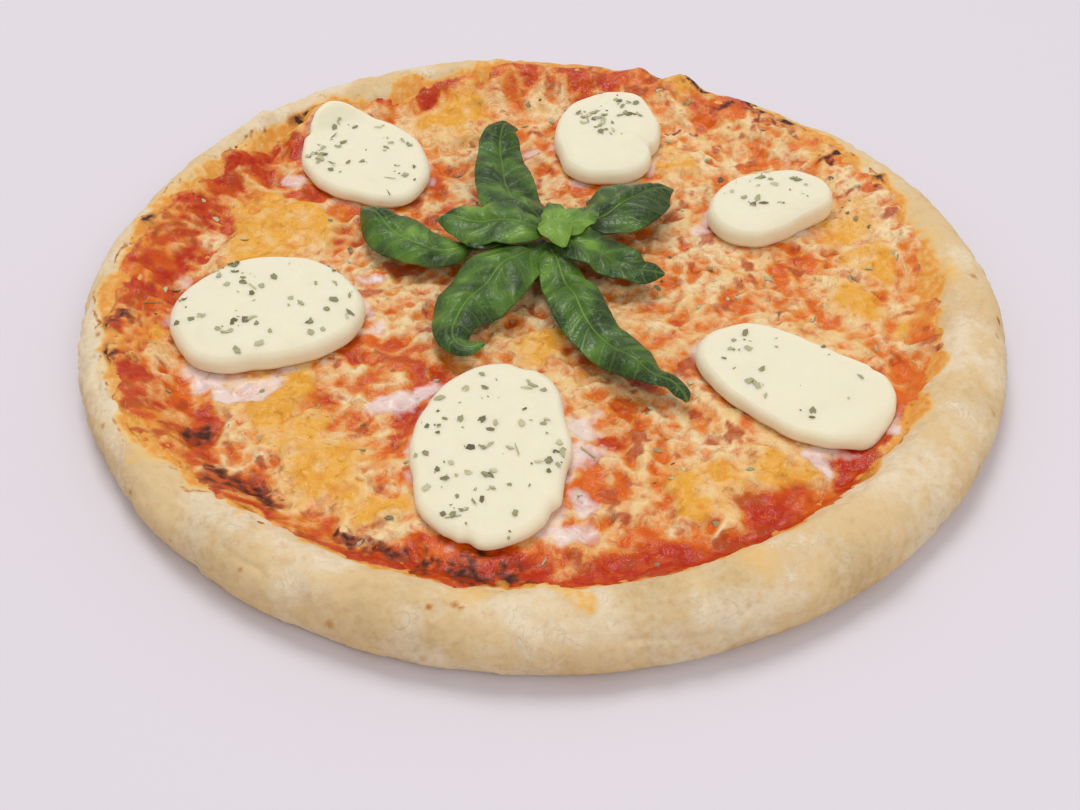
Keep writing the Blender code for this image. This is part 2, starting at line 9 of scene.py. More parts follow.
import bpy
import numpy as np
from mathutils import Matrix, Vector


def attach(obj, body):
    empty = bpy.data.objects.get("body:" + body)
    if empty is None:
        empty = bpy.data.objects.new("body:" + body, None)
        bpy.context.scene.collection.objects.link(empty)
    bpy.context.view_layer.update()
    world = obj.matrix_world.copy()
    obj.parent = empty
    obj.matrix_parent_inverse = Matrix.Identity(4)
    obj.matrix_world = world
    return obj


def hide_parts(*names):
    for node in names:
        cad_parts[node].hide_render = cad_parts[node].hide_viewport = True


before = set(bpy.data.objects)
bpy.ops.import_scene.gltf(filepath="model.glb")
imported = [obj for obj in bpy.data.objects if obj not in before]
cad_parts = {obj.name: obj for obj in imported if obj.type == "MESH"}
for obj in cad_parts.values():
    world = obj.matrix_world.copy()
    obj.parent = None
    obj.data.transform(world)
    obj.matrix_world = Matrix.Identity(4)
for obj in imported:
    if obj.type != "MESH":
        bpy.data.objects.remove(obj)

bl_info = {
    "name": "Cheese Pizza",
    "version": (1, 0, 0),
    "blender": (4, 5, 0),
    "location": "View3D > Sidebar > Pizza",
    "description": "Dresses a plain pizza with dough, sauce, melted cheese, mozzarella, oregano and basil",
    "category": "Object",
}

MM = 0.001

# Kinds of node
NOISE = "ShaderNodeTexNoise"
RANGE = "ShaderNodeMapRange"
MATH = "ShaderNodeMath"
VECTORS = "ShaderNodeVectorMath"
MIX = "ShaderNodeMix"
BUMP = "ShaderNodeBump"
ATTRIBUTE = "ShaderNodeAttribute"
CHANNELS = "ShaderNodeSeparateColor"
PLACES = "ShaderNodeTexCoord"
RANDOM = "FunctionNodeRandomValue"
CYLINDER = "GeometryNodeMeshCylinder"

# Round the pizza: one value every 30 degrees, starting at +X
OUTER_RADIUS = (160, 158, 157.5, 160, 161.5, 159.5, 160, 158.5, 159.5, 160.5, 160.5, 160)
CREST_RADIUS = (147, 147, 149, 149, 152, 151, 150, 148, 148, 147, 142, 145)
CREST_HEIGHT = (19, 17.5, 15.5, 19.5, 20.5, 19.5, 18, 18.5, 19.5, 20, 20, 20)
SLOPE_RUN = (24, 26, 26, 24, 24, 24, 24, 24, 24, 22, 15, 20)
SAUCE_RADIUS = (138, 144, 153, 151, 144, 146, 149, 146, 136, 136, 134, 133)
CHEESE_RADIUS = (137, 143, 147, 142, 139, 133, 137, 133, 128, 123, 119, 124)

# The rim of the dough
DOUGH_FLOOR = 6.0
SIDE_HEIGHT = 8.5
UNDERCUT = 7.0
RIM_START = 116.0  # inside this radius the dough is hidden and stays coarse
RIM_SECTORS = 1080
SLOPE_RINGS = 33
FALL_RINGS = 22
FOOT_RINGS = 16
FALL_LENGTH = 16  # along the surface from the crest to the widest line
FOOT_LENGTH = 11  # along the surface from there to the table
HIDDEN_SHARES = (0.35, 0.7)  # where the plain surfaces that can't be seen have their rings
# Bubbles and swellings: angle, distance from the middle, reach, height
BLISTERS = (
    (67, 154, 10, 5.5), (74, 153, 9, 2.5), (137, 152, 8, 2.6), (167, 149, 7, 2.0), (190, 147, 6, 1.6),
    (215, 152, 17, 1.3), (248, 151, 18, 1.4), (286, 152, 15, 1.8), (312, 150, 16, 1.5), (345, 150, 15, 1.4),
    (22, 150, 16, 1.2),
)
# Creases of the dough, each a line of places
CREASES = (
    ((24, -154), (42, -151), (58, -146), (74, -139)),
    ((30, -149), (33, -157)),
    ((96, -122), (110, -113)),
    ((-92, -124), (-78, -134)),
    ((-145, -48), (-140, -62)),
)
CREASE_DEPTH = 0.7
CREASE_WIDTH = 1.1
# Places x, y, reach, and a strength where it is below 1
TOASTED = (
    (150, 2, 1.3, 0.5), (156, -17, 1.5, 0.6), (152, -27, 1.0, 0.6), (-60, -150, 1.5, 0.4),
    (-31, -147, 0.9, 0.55), (-24, -146.5, 1.0, 0.6), (-22, -147.5, 0.7, 0.5), (-138, -72, 1.0, 0.4),
    (143, -62, 0.9, 0.4), (-127, -98, 0.8, 0.5), (-112, -117, 0.7, 0.4), (-86, -131, 0.8, 0.4),
    (70, -146, 1.6, 0.35), (150, 60, 1.0, 0.4), (60, 143, 4.5, 0.95), (66, 141, 3.5, 0.85),
    (55, 147, 3.5, 0.7),
)
SMUDGED = (
    (30, -142, 10, 0.6), (60, -156, 10, 0.7), (52, -137, 8, 0.5), (92, -131, 12, 0.8), (-40, -160, 20, 0.5),
    (-100, -124, 16, 0.45), (140, -60, 8, 0.4), (-152, -42, 6, 0.4), (120, -104, 8, 0.4),
    (-70, -150, 10, 0.4),
)
CHEESE_DRIP = (
    (-3, -134, 2.6), (0, -137, 2.4), (3, -139.5, 2.3), (6, -142, 2.5), (9, -144.5, 2.9), (12, -146.5, 3.4),
)
OIL_STAINS = (
    (136, 9, 8, 0.8), (141, 4, 5, 0.7), (-20, -139, 7, 0.5), (-122, -76, 6, 0.5), (60, -128, 6, 0.4),
)

# Melted cheese and sauce
CHEESE_DOMES = (
    (-88, -52, 15), (-78, -68, 10), (-95, 46, 17), (-103, 28, 13), (-108, 58, 10), (-62, -86, 15),
    (-50, -98, 8), (-34, 121, 15), (42, -96, 9), (56, -88, 8), (74, -84, 8), (112, 45, 11), (110, 0, 11),
    (-2, -24, 10), (55, 92, 8), (122, 22, 8), (57, 137, 7),
)
DOME_HEIGHT = 2.0
BARE_SAUCE = (
    (20, -124, 9), (35, -121, 9), (50, -117, 9), (66, -110, 8), (80, -100, 8), (95, -87, 9), (104, -76, 7),
    (-5, -127, 8), (-22, -124, 6), (5, -122, 6), (28, -112, 7), (-120, -36, 7), (-127, -20, 8),
    (-131, 2, 8), (-126, 28, 8), (-120, 48, 8), (-123, 66, 8), (-113, 84, 9), (-104, 98, 9), (-98, 76, 6),
    (-66, 132, 8), (-50, 140, 7), (-30, 145, 6), (-8, 148, 6), (14, 146, 6), (34, 142, 6), (60, 138, 7),
    (78, 124, 7), (96, 108, 7), (88, 2, 6), (72, -12, 4), (34, -40, 5), (-42, -58, 7), (-38, -40, 7),
    (20, -70, 5), (100, 84, 7), (118, 62, 5), (-70, 40, 7), (-60, -30, 7), (-48, -22, 6), (-54, 0, 5),
    (120, -28, 5), (-96, -78, 7), (-110, -62, 7), (-50, 62, 6), (-38, 76, 5), (52, 56, 5), (-72, -48, 5),
)
BURNS = (
    (-93, -93, 7), (-86, -100, 6), (-100, -86, 5), (-20, -127.5, 6.5), (-9, -128, 5), (-54, -114, 5),
    (-45, -118, 5), (-62, -110, 4), (-34, -122, 4), (-113, -65, 5), (-2, -131, 3), (-144, -22, 5),
    (-141, -38, 5), (-146, 37, 4), (-137, 70, 4), (-127, 88, 5), (-113, 110, 5), (62, 150, 6), (75, 118, 3),
    (60, 112, 2.5), (99, 112, 4), (113, 85, 3), (127, 68, 3), (12, 157, 3), (88, 118, 4), (134, -30, 2.5),
    (58, 141, 4), (63, 138, 4), (67, 136, 3), (52, 145, 3), (-94, 112, 4), (-99, 107, 3),
)
MILK_POOLS = (
    (-49, -51, 7, 1.0), (-41, -47, 5, 0.9), (-63, 14, 5, 0.9), (13, -62, 6, 0.8), (15, -76, 6, 0.8),
    (-112, -41, 6, 1.0), (-102, -45, 6, 1.0), (-94, -45, 5, 0.8), (-97, 78, 4, 0.8), (-3, 100, 4, 0.7),
    (87, -82, 4, 0.9), (112, -68, 4, 0.8), (6, -110, 6, 0.85), (13, -98, 5, 0.8), (-58, -12, 4, 0.7),
    (64, 44, 3, 0.7), (-128, 10, 4, 0.6),
)
SAUCE_DEPTH = 1.8
TOPPING_DEPTH = 4.6  # from the dough to the smooth level of the cheese
STREWN_RADIUS = 150  # as far out as the grated cheese was strewn
STRAND_STEPS = 26
CHEESE_CELLS = 300
SAUCE_CELLS = 240
SHEET_MARGIN = 2.5  # how far both sheets reach past the sauce, down in the dough
SKIRT_SHARES = (1.0, 0.94, 0.88, 0.8)  # where the underside of a sheet has its rings
TOPPING_COLOURS = {"cover": ("cheese", "yellow", "red", "film"), "oven": ("brown", "burn", "milk", "fringe")}

# Mozzarella: x, y, depth, and the outline's radius every 30 degrees from the slice's own middle
SLICES = {
    "mozzarella_front": (-16, -78, 6.5, (25.5, 27, 36.5, 39, 32, 26.5, 25.5, 27, 36, 41.5, 36, 27)),
    "mozzarella_left": (-95, -10, 9.0, (34.5, 31, 28.5, 27, 27.5, 28.5, 32.5, 33, 34, 29.5, 29, 33)),
    "mozzarella_back_left": (-71, 86, 7.0, (26, 24.5, 24.5, 28, 31, 25.5, 23.5, 22, 23, 26.5, 34.5, 31.5)),
    "mozzarella_back": (27, 100, 8.5, (20.5, 23, 28, 28.5, 27, 23, 22, 23, 28.5, 29, 26, 20)),
    "mozzarella_right_back": (87, 53, 9.5, (22.5, 23.5, 21, 17, 17, 19.5, 24, 27, 25, 19.5, 15.5, 17)),
    "mozzarella_right": (84, -48, 7.0, (30, 21.5, 19.5, 23.5, 33.5, 37, 28, 22, 21.5, 26.5, 32.5, 32.5)),
}
SLICE_LIFT = 0.55
SLICE_CORNERS = 200
SLICE_ANGLES = np.arange(SLICE_CORNERS) * 360 / SLICE_CORNERS
SLICE_RINGS = 56
SLICE_SUNK = 0.4  # how far the hidden underside of a slice lies below the level of the cheese
# From the foot to the middle of the top: share of the outline's radius, share of the depth
SLICE_PROFILE = (
    (0.96, -0.12), (0.995, 0.06), (1.0, 0.28), (0.985, 0.53), (0.945, 0.73), (0.87, 0.84), (0.6, 0.93),
    (0, 0.98),
)
# Nicks of the outline: slice, angle, reach in degrees, depth
NICKS = (
    ("mozzarella_front", 305, 9, 2.2), ("mozzarella_front", 262, 5, 1.4), ("mozzarella_front", 75, 9, 1.2),
    ("mozzarella_right", 10, 6, 0.9), ("mozzarella_back", 330, 9, 1.5), ("mozzarella_back_left", 150, 9, 1.2),
)
TOP_FROM = 0.45  # share of a slice's profile where the top that oregano falls on starts
GROUND_REACH = 140  # half the side of the square of cheese that oregano falls on
GROUND_CELLS = 140
# How thickly the oregano lies on each slice, and where on it: share, shift of the middle, share of the radius
SPRINKLE = {
    "mozzarella_front": (1.0, 0, -2, 0.95),
    "mozzarella_left": (0.9, -2, 2, 0.95),
    "mozzarella_back_left": (1.1, 0, -2, 0.9),
    "mozzarella_back": (2.4, 0, 10, 0.62),
    "mozzarella_right_back": (0.9, 2, 4, 0.85),
    "mozzarella_right": (0.6, -4, 4, 0.85),
}

# Basil: the midrib from stalk to tip as x, y, z and half width; the droop of the left and right halves in
# degrees; the turn about the midrib at the stalk and at the tip; the wave of the edge; how dark the leaf is
# at the stalk and at the tip
LEAVES = {
    "basil_leaf_back": (
        ((3.5, 30, 18.5, 3), (-1.5, 40, 18.5, 8), (-10, 48, 20, 12), (-13, 59, 20.5, 12),
         (-14.6, 71, 20.5, 11), (-15.8, 83, 20, 8.8), (-16, 91, 20.5, 8), (-14.5, 98, 20.5, 6),
         (-10.5, 102, 17.5, 2)),
        28, 30, 0, -10, 0.8, 0.45, 0.75),
    "basil_leaf_far_left": (
        ((1.5, 25.5, 16, 0.8), (-12, 25, 15.4, 0.8), (-25, 25.5, 15.6, 2.6), (-31, 22, 18, 7),
         (-38.5, 21.5, 19, 9.6), (-46.5, 24.5, 19.8, 11), (-55, 32.3, 19.6, 11), (-61, 40.3, 18.5, 8),
         (-67, 49, 16, 0.6)),
        55, 36, 4, 4, 0.3, 0.55, 0.3),
    "basil_leaf_left": (
        ((1.8, 28, 22, 4), (-6, 27.7, 24, 10), (-14, 31, 24.5, 13), (-22, 33.3, 24, 13),
         (-29, 36.3, 22, 10.5), (-34.5, 38.7, 19, 6), (-38.8, 40, 16.5, 0.7)),
        40, 30, 0, 0, 0.5, 0.2, 0.5),
    "basil_leaf_front_left": (
        ((2, 24.5, 18, 2.5), (-2, 20, 18.5, 6), (-8, 13.7, 20, 11), (-14, 6.5, 21, 13.7),
         (-20, -3.5, 21, 14), (-25.5, -12, 20.5, 11.8), (-29, -20.5, 19.5, 9), (-30, -27, 18.5, 6.5),
         (-28, -32, 17.7, 4.6), (-24, -34.3, 17.4, 3), (-19, -32, 17.4, 0.8)),
        36, 28, 0, 0, 0.8, 0.3, 0.5),
    "basil_leaf_front_right": (
        ((3.8, 24, 17, 2), (3.5, 19, 17.5, 5), (6.5, 8.5, 19.5, 8), (10, -4, 20.5, 10),
         (13.5, -15.5, 20.5, 10.6), (18, -26, 20, 9.4), (24, -35.5, 19.5, 9), (30.5, -43, 18.5, 8.2),
         (36.5, -48, 17.5, 4.8), (42, -50, 16.5, 3.4), (45.7, -54, 15, 2.8), (47, -57, 13.6, 0.6)),
        40, 34, 0, -15, 0.6, 0.35, 0.95),
    "basil_leaf_right": (
        ((5, 26.2, 19, 4), (9, 23.8, 20, 7.5), (13.5, 20.5, 21, 10), (21.5, 17, 20.5, 11),
         (29, 12.3, 19, 10), (36, 8.3, 17.5, 6.8), (43.5, 8.2, 15.5, 0.6)),
        14, 26, 4, 0, 1.2, 0.1, 1.0),
    "basil_leaf_back_right": (
        ((6.5, 29, 17.5, 0.8), (13, 33.3, 18, 2.6), (18.5, 36.5, 20, 9), (25, 40.5, 20.5, 14),
         (32, 46.3, 21, 14.7), (38.5, 52.3, 20.5, 12.2), (44.5, 57.8, 18.5, 7.6), (50, 60.8, 16, 0.6)),
        30, 20, 4, -4, 0.8, 0.5, 0.85),
    "basil_leaf_tip_front": (
        ((3, 31, 22.4, 4), (4.2, 26.5, 23.8, 6.2), (5.8, 21.5, 23.6, 5.6), (8.2, 15.5, 22, 0.8)),
        25, 25, 0, 0, 0.5, -0.5, -0.3),
    "basil_leaf_tip_back": (
        ((3.6, 27, 22, 3.5), (4.8, 32.5, 23.2, 5), (4.4, 37.5, 23.4, 3.6), (2.6, 42.5, 22.2, 0.6)),
        25, 25, 0, 0, 0.4, -0.1, 0.3),
    "basil_leaf_folded": (
        ((6.4, 26.5, 22, 4.4), (11, 29, 23.4, 6.8), (15.5, 33.5, 23.6, 6), (19, 41, 22.2, 0.8)),
        22, 22, 0, 0, 0.6, -0.3, 0.2),
    "basil_leaf_small": (
        ((-12, 22.5, 18.4, 0.7), (-17, 22.3, 18.6, 2.8), (-22, 22.6, 18.6, 3.8), (-27, 23.8, 18.4, 0.7)),
        18, 12, 0, 0, 0.3, 1.0, 1.0),
}
LEAF_THICKNESS = 0.4
LEAF_STEP = 0.75
LEAF_STRIPS = 44
STEM_FOOT = (4.5, 27, 12.6)
STEM_HEAD = (4.5, 27, 20.6)
STEM_RADIUS = 1.3
STEM_CORNERS = 24
STEM_RINGS = 22

# Camera, from the outline of the pizza in the photograph
LENS = 50.0
ELEVATION = 42.1
DISTANCE = 502.3
TARGET = (-0.5, -43.6, 0)

# Patterns are painted on a square round the pizza
FIELD_SIDE = 360.0
FIELD_CELLS = 1024


def linear(code):
    """A colour written as sRGB hex, as linear RGB."""
    parts = (int(code[place : place + 2], 16) / 255 for place in (1, 3, 5))
    return tuple(part / 12.92 if part <= 0.04045 else ((part + 0.055) / 1.055) ** 2.4 for part in parts)


def tint(name, code, description):
    """A colour that a user can change."""
    return bpy.props.FloatVectorProperty(
        name=name, description=description, default=linear(code), subtype="COLOR", size=3, min=0, max=1
    )


def span(name, size, description):
    """A length that a user can change, given in millimetres."""
    return bpy.props.FloatProperty(
        name=name, description=description, default=size * MM, min=0, precision=5,
        unit="LENGTH", subtype="DISTANCE",
    )


class PizzaDoughLook(bpy.types.PropertyGroup):
    """Sizes and colours of the dough."""

    crust: tint("Crust", "#e2c393", "Baked dough where it is neither floury nor toasted")
    flour: tint("Flour", "#eeddc0", "Dough under a dusting of flour")
    golden: tint("Golden", "#d8ac76", "Dough baked a little darker")
    # this colour also paints shade into the skin cracks and darkens the rim towards its foot
    smudge_and_darkening: tint("Smudges", "#b7955f", "Dull patches and cracks")
    toast: tint("Toast", "#bb7530", "Small toasted places")
    char: tint("Char", "#3f1d10", "Burnt bubbles")
    fat: tint("Fat", "#efbe6c", "Dough soaked by fat from the cheese")
    oil: tint("Oil", "#e8993a", "Dough stained by sauce and oil")
    dimple: span("Dimples", 0.4, "Depth of the fine unevenness of the rim")


class PizzaToppingLook(bpy.types.PropertyGroup):
    """Sizes and colours of the sauce and the melted cheese."""

    cream: tint("Cheese", "#f6deac", "Melted cheese where it lies thick")
    strand: tint("Threads", "#f8e5b4", "Threads of cheese that have stayed pale")
    yellow: tint("Yellow cheese", "#eead36", "Pools of older, fatter cheese")
    thin: tint("Thin cheese", "#ea8c2b", "Cheese that has run thin over the sauce")
    orange: tint("Oily sauce", "#e2680f", "Sauce mixed with fat from the cheese")
    red: tint("Sauce", "#bd2a0c", "Plain tomato sauce")
    brown: tint("Browned", "#b9480f", "Cheese browned by the oven")
    singed: tint("Singed", "#963a12", "Darker edges round the burnt places")
    char: tint("Char", "#33130b", "Burnt sauce and cheese")
    film: tint("Film", "#eaa544", "Fat and cheese run out to the edge of the sauce")
    milk: tint("Whey", "#efdcd8", "Whey run out of the mozzarella")
    strand_width: span("Strand width", 3.6, "Width of a melted strand of grated cheese")
    strand_length: span("Strand length", 26.0, "Length of a melted strand of grated cheese")
    strands: bpy.props.IntProperty(
        name="Strands", description="How many strands were sprinkled", default=1500, min=10
    )
    relief: span("Relief", 1.5, "How far the cheese stands above the sauce")


class PizzaMozzarellaLook(bpy.types.PropertyGroup):
    """Sizes and colours of the mozzarella."""

    curd: tint("Curd", "#f1e9cf", "Fresh mozzarella")
    # painted shade: the rim colour also darkens the sides of each slice
    rim: tint("Rim", "#eee4c6", "The thin wet edge of a slice")
    swell: span("Swellings", 0.22, "Height of the soft unevenness of a slice")


class PizzaHerbLook(bpy.types.PropertyGroup):
    """Sizes and colours of the dried oregano."""

    pale: tint("Pale flakes", "#d2cda8", "The palest flakes")
    green: tint("Green flakes", "#a7a47c", "Most flakes")
    dark: tint("Dark flakes", "#6f6248", "The darkest flakes")
    flake: span("Flake", 3.3, "Length of a large flake")
    density: bpy.props.FloatProperty(
        name="Density", description="Flakes on a square metre of mozzarella", default=22000.0, min=0
    )
    on_cheese: bpy.props.FloatProperty(
        name="On the cheese", description="Flakes on a square metre of melted cheese", default=3000.0, min=0
    )


class PizzaBasilLook(bpy.types.PropertyGroup):
    """Sizes and colours of the basil."""

    leaf: tint("Leaf", "#578029", "The leaf between its veins")
    light: tint("Veins", "#93b44a", "Veins and young leaves")
    dark: tint("Wilted", "#1a300f", "Places that the heat has darkened")
    vein_step: span("Vein distance", 8.0, "Distance between side veins along the midrib")
    quilting: span("Quilting", 0.95, "How far the leaf swells between its veins")


class PizzaStageLook(bpy.types.PropertyGroup):
    """The floor and the light."""

    floor: tint("Floor", "#e3dce3", "The table top")
    key: bpy.props.FloatProperty(
        name="Key light", description="Power of the large lamp", default=26.0, subtype="POWER"
    )
    fill: bpy.props.FloatProperty(
        name="Fill light", description="Power of the side lamp", default=2.6, subtype="POWER"
    )
    sky: bpy.props.FloatProperty(name="Surroundings", description="Brightness all round", default=0.56, min=0)


def plug(node, sockets):
    """Fills a node's inputs: with a link where the value is another node's socket, else with the value."""
    for key, value in sockets.items():
        if isinstance(value, bpy.types.NodeSocket):
            node.id_data.links.new(value, node.inputs[key])
        else:
            node.inputs[key].default_value = value


def add(tree, kind, *values, **named):
    """Adds a node with its settings and links, and returns its first output in use.

    values fill the inputs in use, in their order. A name with a capital is an input, any other a setting."""
    node = tree.nodes.new(kind)
    for name, value in named.items():
        if name.islower():
            setattr(node, name, value)
    in_use = [place for place, socket in enumerate(node.inputs) if socket.enabled]
    plug(node, dict(zip(in_use, values)))
    plug(node, {name: value for name, value in named.items() if not name.islower()})
    return next((socket for socket in node.outputs if socket.enabled), None)


def around(values, angle):
    """A smooth closed curve through values spaced evenly round a circle, read at angles in degrees."""
    table = np.asarray(values, float)
    place = np.mod(angle, 360) / 360 * len(table)
    first = np.floor(place).astype(int)
    part = place - first
    a, b, c, d = (table[(first + step) % len(table)] for step in (-1, 0, 1, 2))
    return b + 0.5 * part * (c - a + part * (2 * a - 5 * b + 4 * c - d + part * (3 * (b - c) + d - a)))


def along(points, shares):
    """A smooth open curve through points, read at shares from 0 to 1: places and directions."""
    table = np.asarray(points, float)
    table = np.vstack([2 * table[0] - table[1], table, 2 * table[-1] - table[-2]])
    place = np.clip(np.asarray(shares, float), 0, 0.999999) * (len(points) - 1)
    first = np.floor(place).astype(int)
    part = (place - first)[:, None]
    a, b, c, d = (table[first + step] for step in range(4))
    places = b + 0.5 * part * (c - a + part * (2 * a - 5 * b + 4 * c - d + part * (3 * (b - c) + d - a)))
    headings = 0.5 * (c - a + part * (2 * (2 * a - 5 * b + 4 * c - d) + part * 3 * (3 * (b - c) + d - a)))
    return places, headings


def ease(share):
    """0 to 1 with a level start and end."""
    share = np.clip(share, 0, 1)
    return share * share * (3 - 2 * share)


def polar(radius, angle):
    """The x and y of points at a distance and an angle from the middle."""
    turn = np.radians(angle)
    return radius * np.cos(turn), radius * np.sin(turn)


AXIS = (np.arange(FIELD_CELLS) + 0.5) / FIELD_CELLS * FIELD_SIDE - FIELD_SIDE / 2
WAVES = np.fft.fftfreq(FIELD_CELLS, FIELD_SIDE / FIELD_CELLS)
WAVES_SQUARED = WAVES[None, :] ** 2 + WAVES[:, None] ** 2
PAINTED = {}  # patterns that have been painted, by name


def blur(field, size):
    """A pattern softened by the given number of millimetres."""
    return np.real(np.fft.ifft2(np.fft.fft2(field) * np.exp(-2 * (np.pi * size) ** 2 * WAVES_SQUARED)))


def cloud(size, seed):
    """Soft unevenness round 0, with features of about the given size. Each seed has its own."""
    field = blur(np.random.default_rng(seed).standard_normal((FIELD_CELLS, FIELD_CELLS)), size * 0.35)
    return (field - field.mean()) / field.std()


def sample(name, x, y):
    """A painted pattern read at places, blended between its cells."""
    field = PAINTED[name]
    cell = FIELD_SIDE / FIELD_CELLS
    across = np.clip((x + FIELD_SIDE / 2) / cell - 0.5, 0, FIELD_CELLS - 1.001)
    up = np.clip((y + FIELD_SIDE / 2) / cell - 0.5, 0, FIELD_CELLS - 1.001)
    i, j = across.astype(int), up.astype(int)
    s, t = across - i, up - j
    low = field[j, i] * (1 - s) + field[j, i + 1] * s
    high = field[j + 1, i] * (1 - s) + field[j + 1, i + 1] * s
    return low * (1 - t) + high * t


def spots(x, y, table, softness):
    """1 inside the blots of a table, 0 outside, with an edge of the given softness."""
    total = np.zeros_like(x)
    for spot_x, spot_y, reach, *strength in table:
        away = np.hypot(x - spot_x, y - spot_y) / reach
        strong = strength[0] if strength else 1.0
        total = np.maximum(total, strong * ease((1 + softness / 2 - away) / softness))
    return total


def near_lines(x, y, lines, width):
    """1 on the lines of a table, falling to 0 at the given distance from them."""
    total = np.zeros_like(x)
    for line in lines:
        for (ax, ay), (bx, by) in zip(line, line[1:]):
            reach_x, reach_y = bx - ax, by - ay
            share = ((x - ax) * reach_x + (y - ay) * reach_y) / (reach_x**2 + reach_y**2)
            share = np.clip(share, 0, 1)
            away = np.hypot(x - ax - share * reach_x, y - ay - share * reach_y)
            total = np.maximum(total, ease(1 - away / width))
    return total


def strands(count, length, width, seed):
    """Grated strands strewn at random: how much cheese lies at each place, and the topmost strand's shape."""
    draw = np.random.default_rng(seed)
    x, y = polar(STREWN_RADIUS * np.sqrt(draw.random(count)), 360 * draw.random(count))
    heading = draw.random(count) * 2 * np.pi
    bend = draw.normal(0, 1.1, count)
    size = np.clip(draw.normal(length, length * 0.35, count), 5, None)
    share = np.linspace(-0.5, 0.5, STRAND_STEPS)[None, :]
    turn = heading[:, None] + bend[:, None] * share
    stride = size[:, None] / STRAND_STEPS
    path_x = (x[:, None] + np.cumsum(np.cos(turn) * stride, 1)).ravel()
    path_y = (y[:, None] + np.cumsum(np.sin(turn) * stride, 1)).ravel()
    taper = np.sqrt(np.clip(1.05 - (2 * share) ** 6, 0.05, 1))
    half = ((width / 2 * draw.uniform(0.7, 1.35, count))[:, None] * taper).ravel()
    high = np.repeat(draw.uniform(0.55, 1.0, count), STRAND_STEPS)
    amount = np.repeat(size / STRAND_STEPS, STRAND_STEPS) / (2 * half)
    cell = FIELD_SIDE / FIELD_CELLS
    column = ((path_x + FIELD_SIDE / 2) / cell).astype(int)
    row = ((path_y + FIELD_SIDE / 2) / cell).astype(int)
    pile = np.zeros((FIELD_CELLS, FIELD_CELLS))
    ridge = np.zeros((FIELD_CELLS, FIELD_CELLS))
    reach = math.ceil(width * 0.7 / cell)
    for step_y in range(-reach, reach + 1):
        for step_x in range(-reach, reach + 1):
            i = np.clip(column + step_x, 0, FIELD_CELLS - 1)
            j = np.clip(row + step_y, 0, FIELD_CELLS - 1)
            away = ((AXIS[i] - path_x) ** 2 + (AXIS[j] - path_y) ** 2) / half**2
            height = high * np.clip(1 - away, 0, 1)
            hit = height > 0
            np.maximum.at(ridge, (j[hit], i[hit]), height[hit])
            np.add.at(pile, (j[hit], i[hit]), (height * amount)[hit])
    return pile, ridge


def slice_reach(name, x, y):
    """How far out places lie on a slice: 0 in its middle, 1 on its outline."""
    middle_x, middle_y, _, outline = SLICES[name]
    angle = np.degrees(np.arctan2(y - middle_y, x - middle_x))
    return np.hypot(x - middle_x, y - middle_y) / around(outline, angle)


